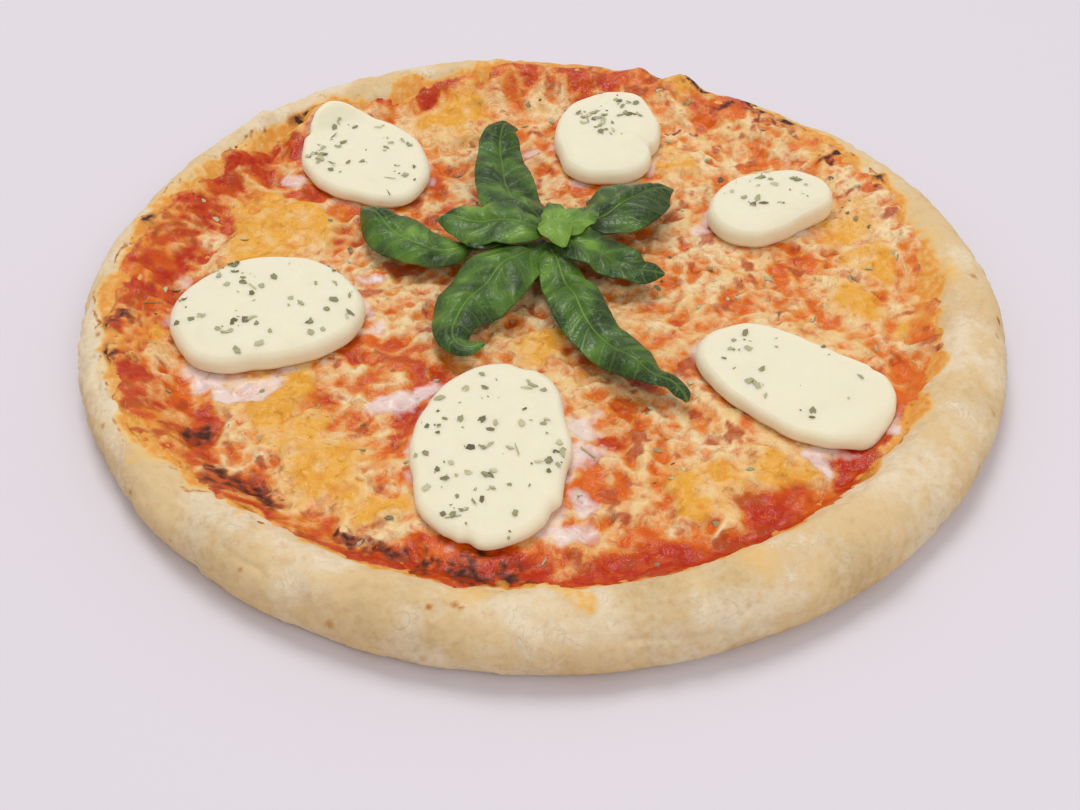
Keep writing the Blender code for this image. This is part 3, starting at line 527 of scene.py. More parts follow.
def paint_toppings(look):
    """Paints where the cheese, sauce, burns and whey lie, once for both toppings."""
    if PAINTED:
        return PAINTED
    x, y = np.meshgrid(AXIS, AXIS)
    shifted_x = x + 2.6 * cloud(12, 1) + 0.5 * cloud(3, 31)
    shifted_y = y + 2.6 * cloud(12, 2) + 0.5 * cloud(3, 32)
    edge_x = x + 1.5 * cloud(9, 35) + 0.4 * cloud(3, 37)
    edge_y = y + 1.5 * cloud(9, 36) + 0.4 * cloud(3, 38)
    radius = np.hypot(edge_x, edge_y)
    angle = np.degrees(np.arctan2(edge_y, edge_x))
    width, length = look.strand_width / MM, look.strand_length / MM
    pile, ridge = strands(look.strands, length, width, 5)
    fine_pile, fine_ridge = strands(look.strands, length * 0.65, width * 0.55, 6)
    pile = blur(pile + 0.35 * fine_pile, 0.8)
    ridge = blur(np.maximum(ridge, 0.7 * fine_ridge), 0.4)
    domes = spots(shifted_x, shifted_y, CHEESE_DOMES, 0.9)
    bare = spots(shifted_x, shifted_y, BARE_SAUCE, 1.2)
    inside = ease((around(CHEESE_RADIUS, angle) + 6 + 4.5 * cloud(15, 24) - radius) / 16)
    outside = 1 - inside
    fringe = ease((around(SAUCE_RADIUS, angle) + 0.5 - radius) / 3)
    # past the grated cheese a film of fat and cheese still reaches the crust, except at the front
    right = ease((x - 60) / 50) * ease((y + 75) / 50)
    left = ease((-x - 50) / 60)
    back = ease((y - 70) / 50)
    bands = 0.5 + 0.5 * np.sin((np.hypot(x, y) + 3.5 * cloud(13, 21)) * 0.9)
    streaks = ease(0.35 + 0.5 * bands + 0.45 * cloud(8, 22))
    film = np.max([0.95 * right, left * (0.05 + 0.9 * streaks), back * (0.3 + 0.5 * streaks)], axis=0)
    gaps = ease((cloud(17, 3) * 0.7 + cloud(8, 4) * 0.6 - 0.2 - 0.4 * x / 100) / 1.7)
    amount = (0.36 + 0.5 * np.clip(pile, 0, 1.4)) * (inside + film * outside) + 0.1 * cloud(5, 12)
    amount += 0.55 * domes - 0.45 * gaps * (1 - domes) - 0.42 * bare * (1 - 0.7 * right) * (1 - 0.4 * left)
    under = np.min([slice_reach(name, x, y) for name in SLICES], axis=0)
    wet = ease((1.14 - under) / 0.12) * ease(0.25 + 0.6 * cloud(9, 13))
    PAINTED["cheese"] = np.clip(amount + 0.3 * (ridge - 0.5), 0, 1) * fringe
    PAINTED["ridge"] = ridge
    PAINTED["domes"] = domes
    yellow = domes * (0.95 + 0.2 * cloud(6, 6)) + 0.4 * ease(0.5 + 0.5 * cloud(14, 7)) * (1 - domes)
    PAINTED["yellow"] = np.clip(yellow + 0.6 * film * outside, 0, 1)
    red = 0.18 - 0.12 * x / 100 + 0.28 * cloud(9, 8) + 0.55 * bare * (1 - 0.6 * right)
    red = red + 0.8 * outside * (1 - film)
    PAINTED["red"] = np.clip(red - 0.5 * right * outside, 0, 1)
    roast = ease((cloud(6, 9) * 0.75 + 0.55 * cloud(2.6, 10) - 0.75) / 0.9)
    PAINTED["left"] = np.maximum(left, 0.6 * back)
    singed = outside * PAINTED["left"] * ease((bands - 0.6) / 0.4) * ease(0.1 + 0.7 * cloud(5, 23))
    PAINTED["brown"] = np.maximum(roast * (1 - 0.9 * domes), singed)
    burn_x, burn_y = shifted_x + 1.2 * cloud(1.8, 33), shifted_y + 1.2 * cloud(1.8, 34)
    PAINTED["burn"] = spots(burn_x, burn_y, BURNS, 1.6) * ease(0.8 + 0.45 * cloud(2.0, 11))
    PAINTED["milk"] = np.maximum(spots(shifted_x, shifted_y, MILK_POOLS, 1.1), 0.7 * wet)
    # fat soaks into the crust past the sauce, most at the left and the back, in ragged streaks
    soak = 2.5 + 4.5 * np.maximum(left, 0.7 * back) + 3.5 * right
    PAINTED["soak"] = soak * (0.75 + 0.3 * cloud(7, 25) + 0.12 * cloud(2.4, 26))
    PAINTED["streaks"] = streaks * (1 - 0.7 * right)
    PAINTED["fringe"] = fringe
    inward = around(SAUCE_RADIUS, angle) - radius
    PAINTED["film"] = 1 - ease((inward + 0.8 * cloud(5, 27)) / (2.2 + 2.5 * (left + back)))
    PAINTED["deep"] = ease((inward + 1) / 13)
    PAINTED["open"] = ease((under - 1.04) / 0.2)
    PAINTED["lumps"] = cloud(11, 14)
    PAINTED["pulp"] = cloud(4.5, 15)
    PAINTED["rim"] = cloud(26, 16)
    PAINTED["dimples"] = cloud(8, 17) + 0.5 * cloud(3, 18)
    PAINTED["grit"] = cloud(1.6, 19)
    return PAINTED


def smooth_dough(radius, angle):
    """The top of the dough without its lumps: level inside, a slope up to the crest, a round fall outside."""
    crest = around(CREST_RADIUS, angle)
    top = around(CREST_HEIGHT, angle)
    run = around(SLOPE_RUN, angle)
    outer = around(OUTER_RADIUS, angle)
    slope = DOUGH_FLOOR + (top - DOUGH_FLOOR) * ease((radius - crest + run) / run)
    out = np.clip((radius - crest) / (outer - crest), 0, 1)
    return np.where(radius <= crest, slope, SIDE_HEIGHT + (top - SIDE_HEIGHT) * np.sqrt(1 - out * out))


def dough_lumps(radius, angle, x, y):
    """How far the lumps and bubbles of the rim stand up. They fade out where the toppings lie level."""
    run = around(SLOPE_RUN, angle)
    share = ease((radius - around(CREST_RADIUS, angle) + run) / run)
    total = 0.5 * sample("rim", x, y)
    for bubble_angle, bubble_radius, reach, height in BLISTERS:
        bubble_x, bubble_y = polar(bubble_radius, bubble_angle)
        total = total + height * ease(1 - np.hypot(x - bubble_x, y - bubble_y) / reach)
    return share * total


def dough_top(x, y):
    """The top of the dough under the toppings."""
    radius, angle = np.hypot(x, y), np.degrees(np.arctan2(y, x))
    return smooth_dough(radius, angle) + dough_lumps(radius, angle, x, y)


def sauce_top(x, y):
    """The top of the sauce. It dips into the dough at its edge."""
    deep = sample("deep", x, y)
    depth = SAUCE_DEPTH * (0.15 + 0.85 * deep) + (0.1 + 0.35 * deep) * sample("pulp", x, y)
    fringe = sample("fringe", x, y)
    return dough_top(x, y) + np.maximum(depth, 0.1) * fringe - 0.7 * (1 - fringe)


def cheese_top(x, y, relief):
    """The top of the cheese. It dips into the sauce where there is none."""
    cheese = sample("cheese", x, y)
    domes = sample("domes", x, y)
    shape = 0.55 * cheese + 0.45 * sample("ridge", x, y) * cheese * (1 - 0.6 * domes)
    free = sample("open", x, y)
    swell = DOME_HEIGHT * domes + 0.5 * sample("lumps", x, y)
    calm = (1 - 0.5 * sample("milk", x, y)) * (0.35 + 0.65 * sample("deep", x, y))
    top = sauce_top(x, y) + (relief * 1.35 * shape - 0.3 + swell * (0.3 + 0.7 * cheese)) * calm
    return top * free + (dough_top(x, y) + 3.6) * (1 - free)


def topping_level(x, y):
    """The smooth level that the slices of mozzarella lie on."""
    radius, angle = np.hypot(x, y), np.degrees(np.arctan2(y, x))
    over = ease((radius - around(CHEESE_RADIUS, angle)) / 12)
    return dough_top(x, y) + TOPPING_DEPTH * (1 - over)


def new_mesh(name, places, faces, material, attributes=None, colours=None, spread=None):
    """A smooth object from places in millimetres and faces of three or four corners.

    attributes are named numbers and colours named groups of four, one for each place. spread holds the two
    surface coordinates of each place, for materials that follow the surface."""
    mesh = bpy.data.meshes.new(name)
    triangles = [np.asarray(part) for part in faces if np.shape(part)[1] == 3]
    quads = [np.asarray(part) for part in faces if np.shape(part)[1] == 4]
    corners = np.concatenate([part.ravel() for part in quads + triangles])
    sizes = np.concatenate([np.full(len(part), part.shape[1]) for part in quads + triangles])
    mesh.vertices.add(len(places))
    mesh.vertices.foreach_set("co", (np.asarray(places, float) * MM).ravel())
    mesh.loops.add(len(corners))
    mesh.loops.foreach_set("vertex_index", corners.astype(np.int32))
    mesh.polygons.add(len(sizes))
    mesh.polygons.foreach_set("loop_start", (np.cumsum(sizes) - sizes).astype(np.int32))
    mesh.update(calc_edges=True)
    for key, values in (attributes or {}).items():
        mesh.attributes.new(key, "FLOAT", "POINT").data.foreach_set("value", np.asarray(values, np.float32))
    for key, values in (colours or {}).items():
        rgba = np.column_stack(values).astype(np.float32)
        mesh.attributes.new(key, "FLOAT_COLOR", "POINT").data.foreach_set("color", rgba.ravel())
    if spread is not None:
        layer = mesh.uv_layers.new(name="UVMap")
        layer.data.foreach_set("uv", np.asarray(spread, np.float32)[corners].ravel())
    mesh.materials.append(material)
    mesh.shade_smooth()
    mesh.validate()
    made = bpy.data.objects.new(name, mesh)
    bpy.context.scene.collection.objects.link(made)
    return made


def ring_bands(corners, rings, start=0):
    """Faces between rings of places that follow one another."""
    here = np.arange(corners)
    after = (here + 1) % corners
    bands = []
    for ring in range(rings - 1):
        low, high = start + ring * corners, start + (ring + 1) * corners
        bands.append(np.column_stack([low + here, low + after, high + after, high + here]))
    return np.concatenate(bands)


def fan(loop, middle, upward):
    """Triangles from a loop of places to a middle one, facing up or down."""
    loop = np.asarray(loop)
    after = np.roll(loop, -1)
    centre = np.full(len(loop), middle)
    return np.column_stack([loop, after, centre] if upward else [after, loop, centre])


def closed_rings(corners, rings, flipped=False):
    """Faces of rings of places, closed at both ends by the two middle places that follow them."""
    loop, last = np.arange(corners), rings * corners
    bands = ring_bands(corners, rings)
    return [
        bands[:, ::-1] if flipped else bands,
        fan(loop, last, flipped),
        fan(loop + last - corners, last + 1, not flipped),
    ]


def grid_faces(rows, columns):
    """Faces between the places of a grid, and the loop of places round its edge."""
    row, column = np.meshgrid(np.arange(rows - 1), np.arange(columns - 1), indexing="ij")
    corner = (row * columns + column).ravel()
    quads = np.column_stack([corner, corner + 1, corner + columns + 1, corner + columns])
    line, run = np.arange(columns - 1), np.arange(rows - 1)
    sides = (line, run * columns + columns - 1, rows * columns - 1 - line, (rows - 1 - run) * columns)
    return quads, np.concatenate(sides)


def finish(piece, node):
    """Makes a piece move with the root body and hides the solid from model.glb that it stands for."""
    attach(piece, "root")
    if node:
        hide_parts(node)


def new_material(name):
    """A material with only its shader and output: the material, its shader, and add for its nodes."""
    made = bpy.data.materials.new(name)
    made.use_nodes = True
    return made, made.node_tree.nodes["Principled BSDF"], partial(add, made.node_tree)


def layered_colour(node, base, layers):
    """Colours laid over one another, each where its share is 1. A colour is a socket or three numbers."""
    for share, colour in layers:
        lower, upper = (one if isinstance(one, bpy.types.NodeSocket) else (*one, 1) for one in (base, colour))
        base = node(MIX, share, lower, upper, data_type="RGBA")
    return base


def dough_material(look):
    """Baked wheat dough: dry and open-pored, so matte, with flour, golden patches and toasted spots."""
    made, shader, node = new_material("baked_wheat_dough")
    place = node(PLACES).node.outputs["Object"]
    bake = node(CHANNELS, node(ATTRIBUTE, attribute_name="bake")).node
    patch_size, grain_size, pore_size, crack_size = 15 * MM, 2.6 * MM, 0.7 * MM, 7 * MM
    patches = node(NOISE, place, 1 / patch_size, 4.0, 0.6)
    dust = node(NOISE, place, 0.5 / patch_size, 6.0, 0.7)
    grain = node(NOISE, place, 1 / grain_size, 3.0, 0.6)
    pores = node(NOISE, place, 1 / pore_size, 2.0)
    # skin cracks run along the level lines of a distorted pattern, only here and there; their colour is
    # darkened with painted shade
    skin = node(NOISE, place, 1 / crack_size, 3.0, Distortion=1.4)
    level = node(MATH, node(MATH, skin, 0.5, operation="SUBTRACT"), operation="ABSOLUTE")
    where = node(RANGE, patches, 0.5, 0.62)
    crack = node(MATH, node(RANGE, level, 0.0, 0.03, 1.0, 0.0), where, operation="MULTIPLY")
    ragged = node(RANGE, grain, 0.3, 0.7, -0.4, 0.4)
    oil, scorch, smudge_and_darkening = (
        node(MATH, ragged, channel, channel, operation="MULTIPLY_ADD", use_clamp=True)
        for channel in bake.outputs[:3]
    )
    layers = (
        (node(RANGE, patches, 0.5, 0.7, 0.0, 0.7), look.golden),
        (node(RANGE, dust, 0.44, 0.58, 0.0, 0.85), look.flour),
        (node(RANGE, grain, 0.54, 0.74, 0.0, 0.45), look.golden),
        (node(RANGE, smudge_and_darkening, 0.1, 0.9, 0.0, 0.6), look.smudge_and_darkening),
        # painted shade: the cracks take a little of the colour of the smudges
        (node(MATH, crack, 0.15, operation="MULTIPLY"), look.smudge_and_darkening),
        (node(RANGE, oil, 0.05, 0.5, 0.0, 0.9), look.fat),
        (node(RANGE, oil, 0.45, 0.95), look.oil),
        (node(RANGE, scorch, 0.05, 0.6), look.toast),
        (node(RANGE, scorch, 0.62, 0.95), look.char),
    )
    height = node(MATH, pores, 0.4, grain, operation="MULTIPLY_ADD")
    height = node(MATH, crack, -0.5, height, operation="MULTIPLY_ADD")
    plug(shader, {
        "Base Color": layered_colour(node, look.crust, layers),
        "Roughness": node(RANGE, oil, 0.0, 1.0, 0.8, 0.45),
        "Normal": node(BUMP, Strength=0.6, Distance=look.dimple, Height=height),
        "Specular IOR Level": 0.25,
        "Subsurface Weight": 0.08,
        "Subsurface Radius": (1.0, 0.6, 0.35),
        "Subsurface Scale": 1.5 * MM,
    })
    return made


def topping_material(name, look):
    """Tomato sauce and melted cheese: moist and fatty, so glossy, red to cream, with burnt places."""
    made, shader, node = new_material(name)
    place = node(PLACES).node.outputs["Object"]
    covering = node(ATTRIBUTE, attribute_name="cover")
    cover = node(CHANNELS, covering).node
    oven = node(CHANNELS, node(ATTRIBUTE, attribute_name="oven")).node
    shred_size, fleck_size, grit_size = 3.4 * MM, 1.1 * MM, 0.6 * MM
    thread_size, mottle_size = 12 * MM, 4.6 * MM
    shreds = node(NOISE, place, 1 / shred_size, 2.5, Distortion=0.6)
    flecks = node(NOISE, place, 1 / fleck_size, 3.0)
    grit = node(NOISE, place, 1 / grit_size, 2.0)
    mottles = node(NOISE, place, 1 / mottle_size, 2.0, Distortion=0.4)
    uneven = node(RANGE, shreds, 0.3, 0.7, -0.22, 0.22, clamp=False)
    finer = node(RANGE, flecks, 0.3, 0.7, -0.06, 0.06, clamp=False)
    rough = node(MATH, uneven, finer, operation="ADD")
    # each channel is made ragged by a share of the unevenness
    cheese, yellow, red, brown, burn, milk = (
        node(MATH, rough, share, channel, operation="MULTIPLY_ADD", use_clamp=True)
        for channel, share in zip((*cover.outputs[:3], *oven.outputs[:3]), (0.7, 0.8, 1.1, 0.9, 0.9, 0.8))
    )
    # melted threads run along the level lines of two distorted patterns
    threads = 0.0
    for shift in (0.0, 0.37):
        moved = node(VECTORS, place, (shift, shift, 0), operation="ADD")
        pull = node(NOISE, moved, 1 / thread_size, 1.5, Distortion=1.2)
        level = node(MATH, node(MATH, pull, 0.5, operation="SUBTRACT"), operation="ABSOLUTE")
        threads = node(MATH, node(RANGE, level, 0.0, 0.05, 1.0, 0.0), threads, operation="MAXIMUM")
    present = node(RANGE, cheese, 0.12, 0.5, 0.0, 0.26)
    plain = node(RANGE, yellow, 0.4, 0.85, 1.0, 0.15)
    threaded = node(MATH, node(MATH, threads, present, operation="MULTIPLY"), plain, operation="MULTIPLY")
    mottled = node(RANGE, mottles, 0.5, 0.7, 0.0, 0.65)
    rusty = node(RANGE, mottles, 0.6, 0.78, 0.0, 0.5)
    thinned = node(
        MATH, rough, 1.2, covering.node.outputs["Alpha"], operation="MULTIPLY_ADD", use_clamp=True
    )
    wet = node(RANGE, milk, 0.2, 0.85, 0.0, 0.85)
    burnt = node(RANGE, burn, 0.5, 1.0, 0.0, 0.9)
    layers = (
        (red, look.red),
        (node(RANGE, cheese, 0.02, 0.5, 0.0, 0.9, interpolation_type="SMOOTHSTEP"), look.thin),
        (
            node(RANGE, cheese, 0.3, 1.0, 0.0, 0.92, interpolation_type="SMOOTHSTEP"),
            layered_colour(node, look.cream, [(yellow, look.yellow)]),
        ),
        (node(MATH, mottled, plain, operation="MULTIPLY"), look.orange),
        (node(MATH, rusty, plain, operation="MULTIPLY"), look.red),
        (threaded, look.strand),
        (node(RANGE, thinned, 0.25, 0.9, 0.0, 0.95), look.film),
        (node(RANGE, brown, 0.15, 1.0, 0.0, 0.85), look.brown),
        (wet, look.milk),
        (node(RANGE, burn, 0.08, 0.5, 0.0, 0.9), look.singed),
        (burnt, look.char),
    )
    dull = node(MIX, burnt, node(RANGE, cheese, 0.0, 1.0, 0.2, 0.3), 0.7)
    calm = node(MATH, 1.0, wet, operation="SUBTRACT")
    relief = node(MATH, grit, 0.2, shreds, operation="MULTIPLY_ADD")
    relief = node(MATH, threaded, 0.7, relief, operation="MULTIPLY_ADD")
    height = node(MATH, relief, calm, operation="MULTIPLY")
    plug(shader, {
        "Base Color": layered_colour(node, look.orange, layers),
        "Roughness": node(MIX, wet, dull, 0.16),
        "Normal": node(BUMP, Strength=0.9, Distance=1.0 * MM, Height=height),
        "IOR": 1.42,
        "Specular IOR Level": 0.36,
        "Subsurface Weight": 0.12,
        "Subsurface Radius": (1.0, 0.4, 0.15),
        "Subsurface Scale": 2 * MM,
    })
    return made


def mozzarella_material(look):
    """Fresh mozzarella: wet, dense curd that light sinks into, so soft and even with a sheen, with painted
    shade on the sides of each slice.
    """
    made, shader, node = new_material("fresh_mozzarella")
    place = node(PLACES).node.outputs["Object"]
    edge = node(ATTRIBUTE, attribute_name="edge").node.outputs["Fac"]
    curd_size, grain_size = 9 * MM, 1.4 * MM
    curd = node(NOISE, place, 1 / curd_size, 3.0)
    grain = node(NOISE, place, 1 / grain_size, 2.0)
    # the rim colour tints the curd at random, and paints shade on the sides of each slice
    layers = ((node(RANGE, curd, 0.35, 0.75, 0.0, 0.3), look.rim), (edge, look.rim))
    plug(shader, {
        "Base Color": layered_colour(node, look.curd, layers),
        "Roughness": node(RANGE, curd, 0.3, 0.7, 0.42, 0.55),
        "Normal": node(BUMP, Strength=0.12, Distance=0.4 * MM, Height=grain),
        "IOR": 1.4,
        "Specular IOR Level": 0.3,
        "Subsurface Weight": 0.7,
        "Subsurface Radius": (1.0, 0.8, 0.5),
        "Subsurface Scale": 4 * MM,
    })
    return made


def herb_material(look):
    """Dried oregano: brittle crumbled leaf, dull, from pale grey-green to brown."""
    made, shader, node = new_material("dried_oregano")
    ramp = node("ShaderNodeValToRGB", node(ATTRIBUTE, attribute_name="tone").node.outputs["Fac"])
    stops = ramp.node.color_ramp.elements
    stops[0].color = (*look.pale, 1)
    stops[1].color = (*look.dark, 1)
    stops.new(0.55).color = (*look.green, 1)
    crumb_size = 0.4 * MM
    crumbs = node(NOISE, node(PLACES).node.outputs["Object"], 1 / crumb_size)
    plug(shader, {
        "Base Color": ramp,
        "Roughness": 0.8,
        "Normal": node(BUMP, Strength=0.4, Distance=0.1 * MM, Height=crumbs),
        "Specular IOR Level": 0.25,
    })
    return made


def basil_material(look):
    """Fresh basil leaf: waxy skin over soft tissue, so glossy, with pale veins and heat-darkened places."""
    made, shader, node = new_material("fresh_basil_leaf")
    place = node(PLACES).node.outputs["Object"]
    patch_size, mottle_size, net_size = 12 * MM, 3 * MM, 2 * MM
    patches = node(NOISE, place, 1 / patch_size, 1.5)
    mottle = node(NOISE, place, 1 / mottle_size, 3.0)
    net = node("ShaderNodeTexVoronoi", Vector=place, Scale=1 / net_size, feature="DISTANCE_TO_EDGE")
    run = node("ShaderNodeSeparateXYZ", node("ShaderNodeUVMap", uv_map="UVMap")).node
    tone = node(ATTRIBUTE, attribute_name="tone").node.outputs["Fac"]
    out = node(MATH, run.outputs[1], operation="ABSOLUTE")
    # surface coordinates are hundreds of millimetres
    # side veins leave the midrib forwards, never quite evenly
    sway = node(MATH, patches, 0.12, run.outputs[0], operation="MULTIPLY_ADD")
    lean = node(MATH, out, -0.75, sway, operation="MULTIPLY_ADD")
    turns = node(MATH, lean, look.vein_step / MM / 100, operation="DIVIDE")
    away = node(MATH, turns, 0.5, operation="PINGPONG")
    side = node(RANGE, away, 0.0, 0.1, 0.2, 0.0)
    midrib = node(RANGE, out, 0.001, 0.007, 0.28, 0.0)
    network = node(RANGE, net, 0.0, 0.1, 0.12, 0.0)
    veins = node(MATH, node(MATH, side, midrib, operation="MAXIMUM"), network, operation="MAXIMUM")
    dark_share = node(MATH, patches, 2.6, tone, operation="MULTIPLY_ADD")
    layers = (
        (node(RANGE, dark_share, 0.5, 1.5, 0.85, 0.0), look.light),
        (node(RANGE, away, 0.0, 0.4, 0.16, 0.0), look.light),
        (node(RANGE, mottle, 0.5, 0.8, 0.0, 0.3), look.light),
        (node(RANGE, dark_share, 1.15, 2.05, 0.0, 0.9), look.dark),
        (veins, look.light),
    )
    hollow = node(MATH, veins, -1.0, operation="MULTIPLY")
    sunk = node(MATH, mottle, 0.25, hollow, operation="MULTIPLY_ADD")
    plug(shader, {
        "Base Color": layered_colour(node, look.leaf, layers),
        "Roughness": node(RANGE, patches, 0.3, 0.7, 0.24, 0.38),
        "Normal": node(BUMP, Strength=0.7, Distance=0.8 * MM, Height=sunk),
        "IOR": 1.42,
        "Specular IOR Level": 0.42,
        "Subsurface Weight": 0.1,
        "Subsurface Radius": (0.4, 1.0, 0.2),
        "Subsurface Scale": 0.6 * MM,
    })
    return made


def rim_rings():
    """Rings over the rim of the dough, from under the toppings over the crest to the foot.

    They give for each place its radius, angle and height, how far it faces sideways, and its radius with the
    rim unrolled."""
    angle = np.arange(RIM_SECTORS) * 360 / RIM_SECTORS
    crest, outer, top = (around(table, angle) for table in (CREST_RADIUS, OUTER_RADIUS, CREST_HEIGHT))
    rings = []
    for step in range(SLOPE_RINGS + 1):
        radius = RIM_START + (crest - RIM_START) * step / SLOPE_RINGS
        rings.append((radius, angle, dough_top(*polar(radius, angle)), 0 * angle, radius))
    for step in range(1, FALL_RINGS + 1):
        turn = math.pi / 2 * step / FALL_RINGS
        radius = crest + (outer - crest) * math.sin(turn)
        lumps = dough_lumps(radius, angle, *polar(radius, angle)) * math.cos(turn) ** 0.5
        height = SIDE_HEIGHT + (top - SIDE_HEIGHT) * math.cos(turn) + lumps
        unrolled = crest + FALL_LENGTH * step / FALL_RINGS
        rings.append((radius, angle, height, 0 * angle + math.sin(turn), unrolled))
    for step in range(1, FOOT_RINGS + 1):
        turn = math.pi / 2 * step / FOOT_RINGS
        radius = outer - UNDERCUT * (1 - math.cos(turn))
        height = 0 * angle + SIDE_HEIGHT * (1 - math.sin(turn))
        unrolled = crest + FALL_LENGTH + FOOT_LENGTH * step / FOOT_RINGS
        rings.append((radius, angle, height, 0 * angle + math.cos(turn), unrolled))
    return [np.concatenate(part) for part in zip(*rings)]


def dough_colours(x, y, drip):
    """How oily, scorched and smudged the dough is at places of its unrolled surface, and how much darker it
    turns towards the foot of the rim.
    """
    angle = np.degrees(np.arctan2(y, x))
    pulp = sample("pulp", x, y)
    spread = np.hypot(x, y) - around(SAUCE_RADIUS, angle) + 1.8 * sample("lumps", x, y) + 0.7 * pulp
    soak = np.maximum(sample("soak", x, y), 1.0)
    oil = ease(1.05 - (spread + 1.5) / (soak + 1.5)) * (0.4 + 0.6 * sample("streaks", x, y))
    oil = np.maximum(oil, 0.85 * ease(1.3 - np.maximum(spread, 0) / 2.2))
    oil = np.max([oil, spots(x, y, OIL_STAINS, 1.4) * 0.7, 0.5 * drip], axis=0)
    near_sauce = ease((3.5 - spread) / 3)
    scorch = np.maximum(spots(x, y, TOASTED, 1.2), spots(x + 1.5 * pulp, y, BURNS, 1.2) * near_sauce)
    # thin brown lines where the film of fat ends
    edge = ease(1 - np.abs(spread - 0.75 * soak) / 1.1) * sample("left", x, y)
    scorch = np.maximum(scorch, 0.75 * edge * ease(0.2 + 0.8 * pulp))
    # the outer side of the rim turns darker towards its foot, all the way round
    low = ease((np.hypot(x, y) - around(CREST_RADIUS, angle) - 7) / 10)
    return oil, scorch, np.maximum(spots(x, y, SMUDGED, 1.6), 0.4 * low)


class PIZZA_OT_dough(bpy.types.Operator):
    """Make the baked dough with its puffed rim"""

    bl_idname = "pizza.dough"
    bl_label = "Dough"

    def execute(self, context):
        """Makes the rim from its rings, then closes the dough under the toppings and below."""
        look = context.scene.pizza_dough
        paint_toppings(context.scene.pizza_toppings)
        radius, angle, height, sideways, unrolled = rim_rings()
        flat = polar(unrolled, angle)
        free = ease((height - 0.3) / 2)
        dimples = sample("dimples", *flat) * look.dimple / MM
        creases = near_lines(*flat, CREASES, CREASE_WIDTH) * CREASE_DEPTH
        drip = spots(*flat, CHEESE_DRIP, 0.7)
        relief = (dimples - creases + 1.4 * drip + 0.12 * sample("grit", *flat)) * free
        radius = radius + (np.minimum(relief, 0.3) - 0.3) * sideways
        places = np.column_stack([*polar(radius, angle), height + relief * (1 - sideways)])
        # under the toppings and under the dough the surface is plain
        round_angle = angle[:RIM_SECTORS]
        start = np.full(RIM_SECTORS, RIM_START)
        foot = around(OUTER_RADIUS, round_angle) - UNDERCUT
        plain = []
        for reach, level, shares in ((start, DOUGH_FLOOR, HIDDEN_SHARES), (foot, 0, HIDDEN_SHARES[::-1])):
            for share in shares:
                plain.append(np.column_stack([*polar(reach * share, round_angle), 0 * round_angle + level]))
        parts = [*plain[:2], places, *plain[2:], [(0, 0, DOUGH_FLOOR), (0, 0, 0)]]
        rings = len(places) // RIM_SECTORS + len(plain)
        before, behind = np.zeros(2 * RIM_SECTORS), np.zeros(2 * RIM_SECTORS + 2)
        channels = (*dough_colours(*flat, drip), np.ones(len(places)))
        channels = [np.concatenate([before, values, behind]) for values in channels]
        piece = new_mesh(
            "baked_dough", np.concatenate(parts), closed_rings(RIM_SECTORS, rings, flipped=True),
            dough_material(look), colours={"bake": channels},
        )
        finish(piece, "dough")
        return {"FINISHED"}


def lay_sheet(look, node, name, material, cells, surface, sunk):
    """Lays a closed sheet over the middle of the pizza, out to a little past the sauce's edge.

    A square of cells is drawn round into a disc. surface gives its top, and its underside lies sunk in the
    dough by the given depth."""
    paint_toppings(look)
    line = np.linspace(-1, 1, cells + 1)
    u, v = (part.ravel() for part in np.meshgrid(line, line))
    x, y = u * np.sqrt(1 - v * v / 2), v * np.sqrt(1 - u * u / 2)
    reach = around(SAUCE_RADIUS, np.degrees(np.arctan2(y, x))) + SHEET_MARGIN
    x, y = x * reach, y * reach
    quads, loop = grid_faces(cells + 1, cells + 1)
    parts = [np.column_stack([x, y, surface(x, y)])]
    edge = np.array([x[loop], y[loop]])
    for under_x, under_y in [*(edge * share for share in SKIRT_SHARES), np.zeros((2, 1))]:
        parts.append(np.column_stack([under_x, under_y, dough_top(under_x, under_y) - sunk]))
    count, first = len(loop), len(x)
    here, after = np.arange(count), (np.arange(count) + 1) % count
    skirt = np.column_stack([loop[after], loop[here], first + here, first + after])
    under = ring_bands(count, len(SKIRT_SHARES), first)[:, ::-1]
    middle = first + len(SKIRT_SHARES) * count
    cap = fan(middle - count + here, middle, False)
    places = np.concatenate(parts)
    colours = {
        key: [sample(field, places[:, 0], places[:, 1]) for field in fields]
        for key, fields in TOPPING_COLOURS.items()
    }
    shade = topping_material(material, look)
    finish(new_mesh(name, places, [quads, skirt, under, cap], shade, colours=colours), node)


class PIZZA_OT_sauce(bpy.types.Operator):
    """Spread the tomato sauce"""

    bl_idname = "pizza.sauce"
    bl_label = "Tomato sauce"

    def execute(self, context):
        """Lays one sheet of sauce over the dough."""
        look = context.scene.pizza_toppings
        lay_sheet(look, "tomato_sauce", "sauce_sheet", "baked_tomato_sauce", SAUCE_CELLS, sauce_top, 1.2)
        return {"FINISHED"}


class PIZZA_OT_cheese(bpy.types.Operator):
    """Melt the grated cheese over the sauce"""

    bl_idname = "pizza.cheese"
    bl_label = "Melted cheese"

    def execute(self, context):
        """Lays one sheet of cheese over the sauce, shaped by its melted strands and pools."""
        look = context.scene.pizza_toppings
        top = partial(cheese_top, relief=look.relief / MM)
        lay_sheet(look, "melted_cheese", "cheese_sheet", "melted_grated_cheese", CHEESE_CELLS, top, 1.0)
        return {"FINISHED"}


def slice_outline(name, angle):
    """The outline of a slice with its nicks and small unevenness."""
    _, _, _, outline = SLICES[name]
    radius = around(outline, angle)
    for owner, nick_angle, reach, depth in NICKS:
        if owner == name:
            away = (angle - nick_angle + 180) % 360 - 180
            radius = radius - depth * ease(1 - np.abs(away) / reach)
    x, y = polar(radius, angle)
    return radius + 0.25 * sample("lumps", y, x) + 0.1 * sample("pulp", x, y)


